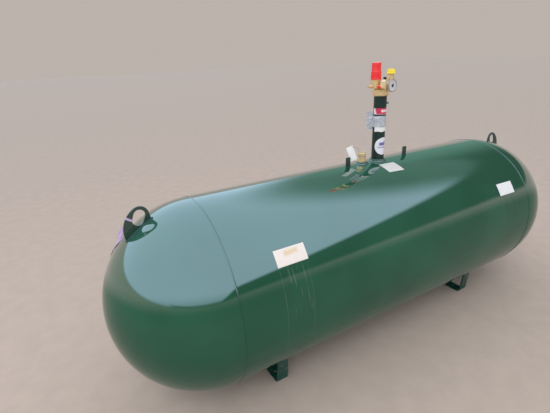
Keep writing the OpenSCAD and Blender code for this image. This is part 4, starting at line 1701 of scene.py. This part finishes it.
    def build(self) -> None:
        """Makes the riser's pieces."""
        self.add("riser_collar_ring", self.collar(), Finish.FITTING, "riser_collar")
        bead_ring = collar_bead(self.along, 0.045)
        self.add("riser_bead", bead_ring, Finish.FITTING, "riser_weld", 60.0)
        self.add("riser_tube", self.pipe(), Finish.PIPE, "riser_pipe")
        self.add("riser_side_stud", self.stud(), Finish.STEEL, "riser_stud")
        self.add("tape_wrap", self.tape(), Finish.TAPE, "riser_tape", 50.0)
        self.add("tape_flag", self.pouch(), Finish.TAPE, "tape_pouch", 50.0)
        self.add("paper_wrap", self.slip(), Finish.PAPER, "paper_slip")
        u, v = patch(self.pipe_r * radians(self.label_arc), self.label_h, 120, 5)
        place = self.round_pipe(radians(self.label_turn), self.label_z + self.label_h / 2)
        self.add("red_band", film(u, v, place, 0.0004), Finish.RED_BAND, "riser_label")
        u, v = round_patch(self.disc_d, 61)
        place = self.round_pipe(radians(self.disc_turn) - pi / 2, self.disc_z)
        self.add("round_film", film(u, v, place, 0.0004), Finish.ROUND, "round_label")


@dataclass
class ValveGroup(Assembly):
    """Brass collar and casting on the riser, with its valves, caps and gauge."""

    foot: float = 1.3962
    top: float = 1.4392
    relief: float = 0.042
    fill: float = 0.073
    gauge: Span = (0.014, -0.06)
    gauge_turn: float = 3.0
    hand_lean: float = 38.0
    port: float = 0.013
    service: Span = (-0.03, -0.046)
    service_h: float = 0.02
    vent: Span = (0.007, -0.02)
    voxel: float = 0.0011

    def at(self, x: float, y: float, z: float) -> Stand:
        """Upright frame at a point of the casting."""
        return Stand((Riser.along + x, y, self.top + z))

    def sideways(self, x: float, y: float, z: float) -> Stand:
        """Frame at a point of the casting that faces left along the tank."""
        return Stand.facing((Riser.along + x, y, self.top + z), (-1.0, 0.0, 0.0))

    def collar(self) -> Surface:
        """Large brass collar: a turned ring with eight wrench flats, closed at the top.

        Returns:
            The surface.
        """
        high = 0.043
        return lathe(Stand((Riser.along, 0.0, self.foot)), [
            [0.0, high], [0.037, high], [0.046, high - 0.009], [0.046, 0.005], [0.041, 0.0],
            [0.0367, 0.0], [0.0367, 0.0262], [0.0295, 0.0262], [0.0295, high - 0.008],
            [0.0, high - 0.008]], 0.0009, 0.003,
            shapes=[flats(8, 0.046 * 0.965, -1.0, 1.0, pi / 8)])

    def casting(self) -> Mesh:
        """The CAD solid remeshed finely and relaxed, so its corners take a cast radius."""
        fine = {"mode": "VOXEL", "voxel_size": self.voxel, "use_smooth_shade": True}
        return baked(merged_copy("valve_body"), ("REMESH", fine),
                     ("SMOOTH", {"factor": 0.5, "iterations": 7}))

    def relief_valve(self) -> None:
        """Hexagon and red cap of the relief valve."""
        nut = lathe(self.at(-self.relief, 0, 0.022), [
            [0, 0], [0.0285, 0], [0.0302, 0.0012], [0.0302, 0.0198], [0.0285, 0.021],
            [0.022, 0.021], [0.022, 0.031], [0, 0.031]], 0.0006, 0.003,
            shapes=[flats(6, 0.026, -1, 0.0211, pi / 6)])
        self.add("relief_nut", nut, Finish.TURNED_BRASS, "relief_hex")
        cap = lathe(self.at(-self.relief, 0, 0.047), [
            [0, 0.0062], [0.0222, 0.0062], [0.0222, 0], [0.028, 0], [0.028, 0.042], [0.026, 0.045],
            [0.025, 0.086], [0.0262, 0.0875], [0.0262, 0.0915], [0.0215, 0.094],
            [0.0205, 0.0915], [0, 0.0915]], 0.0009, 0.0025,
            shapes=[ribs(48, 0.0005, 0.003, 0.041, 0.0275)])
        self.add("relief_top", cap, Finish.RED, "relief_cap")

    def fill_valve(self) -> None:
        """Neck with hexagon and thread, and the yellow cap of the fill valve."""
        neck = lathe(self.at(self.fill, 0, 0.034), [
            [0, 0], [0.02, 0], [0.0206, 0.0008], [0.0206, 0.0112], [0.02, 0.012],
            [0.017, 0.012], [0.017, 0.04], [0, 0.04]], 0.0005, 0.0006, 144,
            [flats(6, 0.0182, -1, 0.0121, pi / 6),
             thread(0.0028, 0.0009, 0.015, 0.037, 0.016)])
        self.add("fill_stem", neck, Finish.TURNED_BRASS, "fill_neck")
        cap = lathe(self.at(self.fill, 0, 0.074), [
            [0, 0], [0.026, 0], [0.026, 0.004], [0.023, 0.006], [0.021, 0.022], [0.018, 0.025],
            [0.0165, 0.0235], [0, 0.0235]], 0.0009, 0.0012,
            shapes=[ribs(18, 0.0012, 0.006, 0.0225, 0.019)])
        self.add("fill_top", cap, Finish.YELLOW, "fill_cap")

    def gauge_parts(self) -> None:
        """Case with a grooved rim, dial and pointer."""
        turn = radians(self.gauge_turn)
        axis = (sin(turn), -cos(turn), 0.0)
        stand = Stand.facing((Riser.along + self.gauge[0] - self.gauge[1] * axis[0],
                              self.gauge[1] * cos(turn), self.top + self.port), axis)
        case = lathe(stand, [
            [0, 0], [0.026, 0], [0.03, 0.001], [0.034, 0.0045], [0.034, 0.0108],
            [0.0325, 0.012], [0.0302, 0.0112], [0.03, 0.008], [0, 0.008]], 0.0007, 0.0015,
            shapes=[ribs(64, 0.0004, 0.005, 0.0105, 0.0335)])
        self.add("gauge_shell", case, Finish.CASE, "gauge_case")
        u, v = round_patch(0.0592, 49)
        dial = film(u, v, lambda a, b, lift: np.stack([a, b, 0.008 + lift], -1), 0.0018)
        self.add("gauge_face", dial.at(stand), Finish.DIAL, "gauge_dial")
        widths = np.array([0.0016, 0.0013, 0.0004])[:, None, None]
        hand = carried(np.array([[0.0, y, 0.0106] for y in (-0.006, 0.004, 0.019)]),
                       widths * corners(1.0, 0.35), np.array(UP))
        lean = radians(self.hand_lean)
        hand.points[:, :2] = hand.points[:, :2] @ np.array([[cos(lean), -sin(lean)],
                                                            [sin(lean), cos(lean)]])
        hub = lathe(Stand(), [[0, 0.0098], [0.0042, 0.0098], [0.0042, 0.0112], [0, 0.0116]],
                    0.0004, turns=48)
        self.add("gauge_hand", hand.with_(hub).at(stand), Finish.BLACK)

    def small_valves(self) -> None:
        """Service bonnet and its plug, vent knob and bleed valve."""
        turn = np.linspace(0.0, pi / 2, 12)
        dome = np.stack([0.019 * np.cos(turn), 0.0176 + 0.0114 * np.sin(turn)], -1)
        wall = softened([[0, 0], [0.0175, 0], [0.019, 0.0015], [0.019, 0.009], [0.0182, 0.0098],
                         [0.0182, 0.0112], [0.019, 0.012], [0.019, 0.016]], 0.0005)
        profile = np.concatenate([wall, dome])
        profile[-1, 0] = 0.0
        bonnet = turned(rows_between(profile, 0.0015)).at(self.at(*self.service, self.service_h))
        self.add("service_dome", bonnet, Finish.PALE_BRASS, "service_bonnet")
        plug = lathe(self.sideways(self.service[0] - 0.029, self.service[1], self.service_h / 2), [
            [0, 0], [0.01, 0], [0.01, 0.003], [0.008, 0.004], [0.007, 0.01], [0, 0.01]],
            0.0006, 0.001, 64, [ribs(16, 0.0005, 0.0003, 0.003, 0.0092)])
        self.add("outlet_stop", plug, Finish.RED, "outlet_plug")
        knob = lathe(self.at(*self.vent, 0.046), [
            [0, 0], [0.007, 0], [0.009, 0.002], [0.009, 0.011], [0.007, 0.013], [0, 0.013]],
            0.0008, 0.001, 96, [ribs(20, 0.0007, 0.0015, 0.0115, 0.0065)])
        self.add("vent_grip", knob, Finish.BLACK, "vent_knob")
        bleed = lathe(self.sideways(-self.relief - 0.027, 0.0, self.port), [
            [0, 0], [0.008, 0], [0.008, 0.01], [0.0055, 0.012], [0.0055, 0.024], [0.007, 0.026],
            [0.007, 0.031], [0.0025, 0.031], [0.0022, 0.0285], [0, 0.0285]], 0.0005, 0.001, 72,
            [flats(6, 0.0071, -1, 0.0101, pi / 6), ribs(24, 0.0004, 0.026, 0.0305, 0.0066)])
        self.add("bleed_stem", bleed, Finish.TURNED_BRASS, "bleed_valve")

    def build(self) -> None:
        """Makes the group's pieces."""
        self.add("valve_collar", self.collar(), Finish.TURNED_BRASS, "valve_base")
        self.add("valve_casting", self.casting(), Finish.CAST_BRASS, "valve_body", 70.0)
        self.relief_valve()
        self.fill_valve()
        self.gauge_parts()
        self.small_valves()


@dataclass
class LiquidValve(Assembly):
    """Small liquid valve beside the riser, with a card tied to it."""

    along: float = -0.004
    collar_r: float = 0.0308
    rise: float = 0.014
    card: Span = (0.04, 0.088)
    card_margin: float = 0.006
    card_hole: Vec = (-0.079, 0.001, 0.111)
    card_lean: float = 22.0
    card_turn: float = 25.0
    tie_r: float = 0.0008

    def tag(self) -> Surface:
        """Card with a small hole near one corner, bowed a little along its length.

        Returns:
            The surface.
        """
        width, height = self.card
        aim = circle(np.arange(160) * TURN / 160)
        margin = self.card_margin
        low, high = np.array([margin - width, margin - height]), np.array([margin, margin])
        reach = np.where(aim > 0, high, low) / np.where(np.abs(aim) < 1e-9, 1e-9, aim)
        outer = aim * np.abs(reach).min(1)[:, None]
        corner = np.abs(outer - np.where(aim > 0, high, low)).max(1)
        outer = outer * (1 - 0.012 * np.exp(-(corner / 0.002) ** 2))[:, None]
        plate = slab(outer, 0.0005, 0.00015, hole=aim * 0.0018, steps=2)
        plate.points[:, 2] += 0.004 * np.cos(plate.points[:, 1] / height * 2.6 + 0.4) - 0.0035
        lean, turn = radians(self.card_lean), radians(self.card_turn)
        level = np.array([cos(turn), -sin(turn), 0.0])
        upright = np.array(UP)
        spot = tuple(np.array([self.along, 0.0, TOP_Z]) + np.asarray(self.card_hole))
        return plate.at(Stand(spot, tuple(cos(lean) * level + sin(lean) * upright),
                              tuple(cos(lean) * upright - sin(lean) * level)))

    def wire(self) -> Surface:
        """Stiff wire: through the card's hole, down past two bends and twice round the valve.

        Returns:
            The surface.
        """
        hole = np.asarray(self.card_hole)
        ring, high = 0.021, self.rise + 0.032
        turn = np.linspace(pi, pi + 2 * TURN, 90)
        coil = np.stack([ring * np.cos(turn), ring * np.sin(turn),
                         high - 0.0018 * (turn - pi) / TURN], -1)
        lead = smooth_path([
            hole + [0, 0.0045, 0], hole + [0, 0, 0.0004], hole + [0.002, -0.0044, -0.0008],
            [-0.046, -0.0078, 0.1005], [-0.036, -0.008, 0.097], [-0.033, -0.0065, 0.086],
            [-0.0275, -0.003, 0.058], [-0.026, -0.002, 0.048], [-0.0235, 0.0, 0.0465]], 10)
        path = np.concatenate([lead, coil]) + np.array([self.along, 0.0, TOP_Z])
        return carried(path, wire_section(self.tie_r, 8), np.array([0.31, 0.2, 0.93]))

    def build(self) -> None:
        """Makes collar, bead, valve, cap, card and tie."""
        foot = Stand((self.along, 0.0, TOP_Z))
        ring = lathe(foot, [[0.0201, -0.02], [self.collar_r, -0.02], [self.collar_r, self.rise],
                            [0.0201, self.rise]], 0.0016, turns=96, closed=True)
        self.add("liquid_collar_ring", ring, Finish.FITTING, "liquid_collar")
        weld = collar_bead(self.along, 0.031)
        self.add("liquid_bead", weld, Finish.FITTING, "liquid_weld", 60.0)
        base, top = self.rise, self.rise + 0.036
        body = lathe(foot, [
            [0, base - 0.018], [0.0198, base - 0.018], [0.0198, base], [0.0262, base + 0.0003],
            [0.0266, base + 0.001], [0.0266, base + 0.009], [0.0255, base + 0.01],
            [0.0208, base + 0.01], [0.0208, top], [0, top]], 0.0006, 0.002, 144,
            [flats(6, 0.023, base, base + 0.0101, pi / 6)])
        self.add("liquid_body", body, Finish.TURNED_BRASS, "liquid_valve")
        cap = lathe(foot, [
            [0, top], [0.0215, top], [0.023, top + 0.0015], [0.023, top + 0.0125],
            [0.0205, top + 0.016], [0.0185, top + 0.016], [0.018, top + 0.0152],
            [0, top + 0.0152]], 0.0007, 0.0012,
            shapes=[ribs(56, 0.0005, top + 0.003, top + 0.0115, 0.022)])
        self.add("liquid_top", cap, Finish.TURNED_BRASS, "liquid_cap")
        self.add("tie_card", self.tag(), Finish.CARD, "tag_card")
        self.add("tie_wire", self.wire(), Finish.STEEL, "tag_tie", 60.0)


@dataclass
class DomeClips(Assembly):
    """Two upright clips on the shell for a dome, each with a bead along both faces of its foot."""

    gap: float = 0.23
    size: Span = (0.031, 0.052)
    thick: float = 0.006
    sunk: float = 0.002

    def build(self) -> None:
        """Makes both clips."""
        width, height = self.size
        line = softened(corners(width / 2, (height + 2 * self.sunk) / 2), 0.003, 6, closed=True)
        run = np.linspace(-width / 2 + 0.001, width / 2 - 0.001, 40)
        swell = 0.09 * np.cos(TURN * run / 0.0048)
        for side, word in SIDES:
            x = Riser.along + side * self.gap
            stand = Stand((x, 0.0, TOP_Z + height / 2 - self.sunk), (1.0, 0.0, 0.0), UP)
            plate = slab(line, self.thick, 0.001).at(stand)
            beads = [bead(np.stack([x + run, 0 * run + row * (self.thick / 2 + 0.0008),
                                    0 * run + TOP_Z + 0.0006], -1), np.array(UP), 0.003, swell,
                          points=12) for row in (-1, 1)]
            self.add(f"clip_plate_{word}", plate.with_(*beads), Finish.LUG, f"dome_clip_{word}")


@dataclass
class ShellLabels(Assembly):
    """Three plain film labels on the shell."""

    gap: float = 0.0001
    thick: float = 0.0004

    def label(self, name: str, finish: Finish, node: str, grid: tuple[Array, Array],
              spot: Vec, lift: Array | float = 0.0) -> None:
        """Makes a label at (its middle along the tank, its angle from the top, its tilt)."""
        self.add(name, film(*grid, on_tank(*spot, self.gap), self.thick, lift), finish, node)

    def build(self) -> None:
        """Makes the labels; the right one's left edge has come loose and curls up a little."""
        side = patch(0.156, 0.076, 60, 40)
        curl = 0.0035 * np.clip(-(side[0] / 0.078) - 0.86, 0.0, 1.0) / 0.14
        self.label("film_left", Finish.STAINED, "side_label_left", side, (-0.761, 55.3, 0.0))
        self.label("film_right", Finish.WHITE, "side_label_right", side, (0.832, 57.7, -1.0), curl)
        self.label("film_top", Finish.OFF_WHITE, "top_label", patch(0.112, 0.096, 50, 40),
                   (0.116, 14.8, -4.0))


@dataclass
class Ribbon(Assembly):
    """Flagging ribbon on the left lug: a bunched band round its rim, and a tail down the head."""

    width: float = 0.026
    knot: float = 0.011
    thick: float = 0.0004
    ray: float = 112.0
    seat: float = 0.0005
    lift: float = 0.0015
    end: Vec = (-0.385, 0.194, 0.203)
    twist: float = 68.0
    twist_end: float = 0.75
    pleats: int = 4
    length: float = field(default=0.0, init=False)
    lug: LiftingLug = field(default_factory=LiftingLug, init=False, repr=False)

    def rim(self) -> tuple[Array, Array, float, float]:
        """Where the lug's rim is narrowest along the ray that the band is tied on.

        Returns:
            Back centre, ray, and the distances of hole and rim from the centre along the ray.
        """
        lug, centre = self.lug, self.lug.back_centre()
        ray = circle(radians(self.ray))
        half = circle(radians(lug.hole_tilt)) * lug.hole_gap / 2
        low_eye = np.asarray(lug.hole) - half - centre
        reach = low_eye @ ray
        near = reach + sqrt(lug.hole_r ** 2 - low_eye @ low_eye + reach ** 2)
        return centre, ray, near, lug.back_r

    def band(self) -> Surface:
        """Band: a rounded ring round the rim's section, its film gathered into small folds.

        Returns:
            The surface, with a UV map across and along the film.
        """
        centre, ray, near, far = self.rim()
        half = np.array([(far - near) / 2 + self.seat, self.lug.thick / 2 + self.seat])
        loop = softened(corners(*half), 0.0025, 6, closed=True)
        s = np.linspace(-1.0, 1.0, 25)
        middle = centre + (near + far) / 2 * ray
        cross = np.array([-ray[1], ray[0]])
        fold = 0.0005 * (1 + np.cos(pi * 5 * s)) + 0.0003 * (1 + np.cos(pi * 11 * s + 1))
        out = unit(loop / half)
        gather = 0.92 + 0.08 * np.cos(TURN * np.arange(len(loop)) / len(loop))[:, None]
        pinch = (self.knot / 2 * s)[None, :] * gather
        shells = []
        for height in (fold, fold + self.thick):
            spot = loop[:, None] + out[:, None] * height[None, :, None]
            flat = [middle[i] + ray[i] * spot[..., 0] + cross[i] * pinch for i in range(2)]
            shells.append(np.stack([*flat, spot[..., 1]], -1))
        ring = np.concatenate([shells[0], shells[1][:, ::-1]], 1)
        count, size = ring.shape[:2]
        length = np.linspace(0.0, 0.09, count)[:, None] + np.zeros((1, size))
        across = np.concatenate([s, s[::-1]])[None] * self.width / 2 + np.zeros((count, 1))
        surface = Surface(ring.reshape(-1, 3), quads(count, size, wrap_rows=True, wrap_cols=True),
                          uv=np.stack([across.ravel(), length.ravel()], -1))
        return surface.at(self.lug.stand())

    def tail_line(self) -> tuple[Array, Array, Array]:
        """Middle line of the tail with its crosswise and outward directions.

        The tail is a straight run that meets the head at a tangent, and then follows it: distance
        from the head's centre = level / cos(angle left to the tangent point). On the way it turns
        about its own line by twist times half a sine, and lies flat before it lands.

        Returns:
            Points of the line, and the two directions at each.
        """
        centre, ray, near, far = self.rim()
        middle = np.array([*(centre + (near + far) / 2 * ray), 0.0])
        head = np.array([-HALF_LEN, 0.0, AXIS_Z])
        knot = self.lug.stand().place(middle[None])[0] - head \
            + np.array([0.0, self.lug.thick / 2 + 0.0024, 0.0])
        level, first, last = TANK_R + self.lift, unit(knot), unit(self.end)
        run = acos(level / np.linalg.norm(knot))
        turn = acos(first @ last)
        t = np.linspace(0.0, 1.0, 110)[:, None]
        left = np.maximum(0.0, 1 - t * turn / run)
        way = (first * np.sin(turn * (1 - t)) + last * np.sin(turn * t)) / sin(turn)
        line = way * level / np.cos(run * left)
        tangent = unit(np.gradient(line, axis=0))
        flat = unit(np.cross(line, tangent))
        rise = np.cross(tangent, flat)
        share = np.minimum(1.0, (1 - left) / self.twist_end)
        roll = radians(self.twist) * np.sin(pi * share)
        across = flat * np.cos(roll) - rise * np.sin(roll)
        return line + head, across, rise * np.cos(roll) + flat * np.sin(roll)

    def tail(self) -> Surface:
        """Tail: pleated where it leaves the knot and opening to its full width, with a soft curl.

        Each row's folds are a wave whose height makes up the width that the row has lost.

        Returns:
            The surface, with a UV map across and along the film.
        """
        line, across, out = self.tail_line()
        t = np.linspace(0.0, 1.0, len(line))[:, None]
        s = np.linspace(-1.0, 1.0, 49)[None]
        wide = self.knot + (self.width - self.knot) * np.minimum(1.0, 3.2 * t) ** 0.8
        lost = np.sqrt(np.maximum((self.width / wide) ** 2 - 1.0, 0.0))
        waves = pi * self.pleats
        fold = lost * wide / waves * 0.55 * np.cos(waves * s + 0.6)
        flutter = 0.0018 * np.sin(TURN * 1.5 * t) * s * (1 - t)
        height = fold + flutter + 0.0008 * (1 + np.cos(pi * s)) * (1 - 0.6 * t)
        height = height - height.min(1, keepdims=True)
        spot = line[:, None] + across[:, None] * (s * wide / 2)[..., None]
        length = run_length(line)
        self.length = float(length[-1])

        def place(_u: Array, _v: Array, lift: Array) -> Array:
            """Points of one face of the film."""
            return spot + out[:, None] * (height + lift)[..., None]
        u, v = s * self.width / 2 + 0 * t, length[:, None] + 0 * s
        return film(u, v, place, self.thick)

    def build(self) -> None:
        """Makes band and tail."""
        tail = self.add("ribbon_tail", self.tail(), Finish.RIBBON, "lug_ribbon", 60.0)
        band = self.add("ribbon_band", self.band(), Finish.RIBBON, sharp=60.0)


# ---- studio ----

def posed(thing: Thing, spot: Vec, back: Array, roll: float = 0.0) -> None:
    """Places a lamp or a camera.

    Args:
        thing: The lamp or camera.
        spot: Where it stands.
        back: The direction behind it, of length 1.
        roll: Turn about its own axis, in radians.
    """
    level = unit(np.cross(UP, back))
    up = np.cross(back, level)
    matrix = np.eye(4)
    matrix[:3, :3] = np.stack([cos(roll) * level + sin(roll) * up,
                               cos(roll) * up - sin(roll) * level, back], 1)
    matrix[:3, 3] = spot
    thing.matrix_world = Matrix(matrix.tolist())


@dataclass
class Studio:
    """Pale floor, pale soft sky and the camera at the photograph's angle."""

    spot: Vec = (-1.5297, -1.6254, 1.5912)
    azimuth: float = -29.59
    elevation: float = 20.65
    roll: float = -2.73
    lens: float = 24.66
    sensor: float = 36.0
    lamp_spot: Vec = (-3.5, -3.0, 4.5)
    lamp_aim: Vec = (0.0, 0.0, 0.6)
    lamp_size: float = 3.0
    lamp_watts: float = 100.0
    floor_colour: Colour = (0.54, 0.45, 0.4)
    floor_dark: float = 0.93
    near_floor: Colour = (0.499, 0.446, 0.413)
    flags: Colour = (0.07, 0.09, 0.08)
    back_flags: Colour = (0.2, 0.36, 0.31)
    round_flag: Colour = (0.2, 0.3, 0.28)
    round_way: Vec = (0.908, 0.33, 0.259)
    pale_sky: Colour = (0.9, 1.2, 1.5)
    sky_slope: float = 0.4
    soft_light: float = 0.92

    def floor(self) -> None:
        """Wide plain floor: a disc that reaches the horizon, with a faint mottle."""
        disc = turned([[0.0, 0.0], [4.0, 0.0], [30.0, 0.0], [240.0, 0.0], [240.0, -0.02],
                       [0.0, -0.02]], 64)
        floor = linked("floor", new_mesh("floor", disc))
        g = Graph("floor")
        mottle = g.noise(g.object_point(), 9.0, 5.0, 0.6)
        darker = tuple(self.floor_dark * c for c in self.floor_colour)
        colour = g.blend(mottle.ease(0.3, 0.7), self.floor_colour, darker)
        floor.data.materials.append(g.finish(Base_Color=colour, Roughness=0.85))

    def sky(self) -> None:
        """World light: even and white on matt surfaces, shaped for camera, mirror and glass rays.

        Those rays see a pale sky by their direction. It starts where z - 0.4 x, with x held to the
        right side, passes 0.23, and lower behind on the left, where y - x passes 0.2. Below it are
        dark flags, paler towards the back, and near the horizon the floor's colour. A round flag
        hides a part of the sky on the right.
        """
        world = bpy.data.worlds.new("sky")
        bpy.context.scene.world = world
        g = Graph("sky", world)
        x, y, z = g.axes(g.add("ShaderNodeTexCoord", out="Generated"))
        right, back, up = self.round_way
        flag = (x * right + y * back + z * up).ease(0.7, 0.86)
        sky = g.blend(flag, self.pale_sky, self.round_flag)
        edge = g.blend(y.ease(0.1, 0.5), self.flags, self.back_flags)
        low = g.blend(z.ease(0.16, 0.24), self.near_floor, edge)
        behind = (y - x).ease(0.1, 0.35) * z.ease(0.17, 0.23)
        above = (z - x.most(0.0) * self.sky_slope).ease(0.2, 0.26).most(behind)
        shown = g.blend(above, low, sky)
        even = g.blend(z.ease(-0.02, 0.1), self.near_floor, (self.soft_light,) * 3)
        camera, glossy, glass = (g.add("ShaderNodeLightPath", out=f"Is {ray} Ray")
                                 for ray in ("Camera", "Glossy", "Transmission"))
        seen = (camera + glossy + glass).least(1.0)
        light = g.add("ShaderNodeBackground", None, {"Color": g.blend(seen, even, shown)})
        g.add("ShaderNodeOutputWorld", None, {"Surface": light})

    def lamp(self) -> None:
        """One large soft lamp high on the viewer's left, for shape."""
        light = bpy.data.lights.new("soft_lamp", "AREA")
        light.shape, light.energy = "RECTANGLE", self.lamp_watts
        light.size = light.size_y = self.lamp_size
        lamp = linked("soft_lamp", light)
        lamp.visible_glossy = False
        posed(lamp, self.lamp_spot, unit(np.subtract(self.lamp_spot, self.lamp_aim)))

    def camera(self) -> None:
        """Camera whose axes come from azimuth, elevation and roll."""
        azimuth, elevation, roll = (
            radians(a) for a in (self.azimuth, self.elevation, self.roll))
        data = bpy.data.cameras.new("camera")
        data.lens, data.sensor_width = self.lens, self.sensor
        camera = linked("camera", data)
        posed(camera, self.spot, np.array([sin(azimuth) * cos(elevation),
                                           -cos(azimuth) * cos(elevation),
                                           sin(elevation)]), roll)
        bpy.context.scene.camera = camera

    def build(self) -> None:
        """Sets up floor, sky, lamp and camera."""
        bpy.context.scene.view_settings.view_transform = "Standard"
        self.camera()
        self.floor()
        self.sky()
        self.lamp()


def main() -> None:
    """Builds and dresses every sub-assembly, then sets up the studio."""
    logging.basicConfig(level=logging.INFO, format="%(message)s")
    box = PaintBox()
    Studio().build()
    parts: list[Assembly] = [
        Tank(), LiftingLug(side=-1), LiftingLug(side=1), Cradle("left", -0.762),
        Cradle("right", 0.762), Riser(), ValveGroup(), LiquidValve(), DomeClips(), ShellLabels(),
        Ribbon()]
    for part in parts:
        LOG.info("building %s", type(part).__name__)
        part.build()
        part.dress(box)


if __name__ == "__main__":
    main()
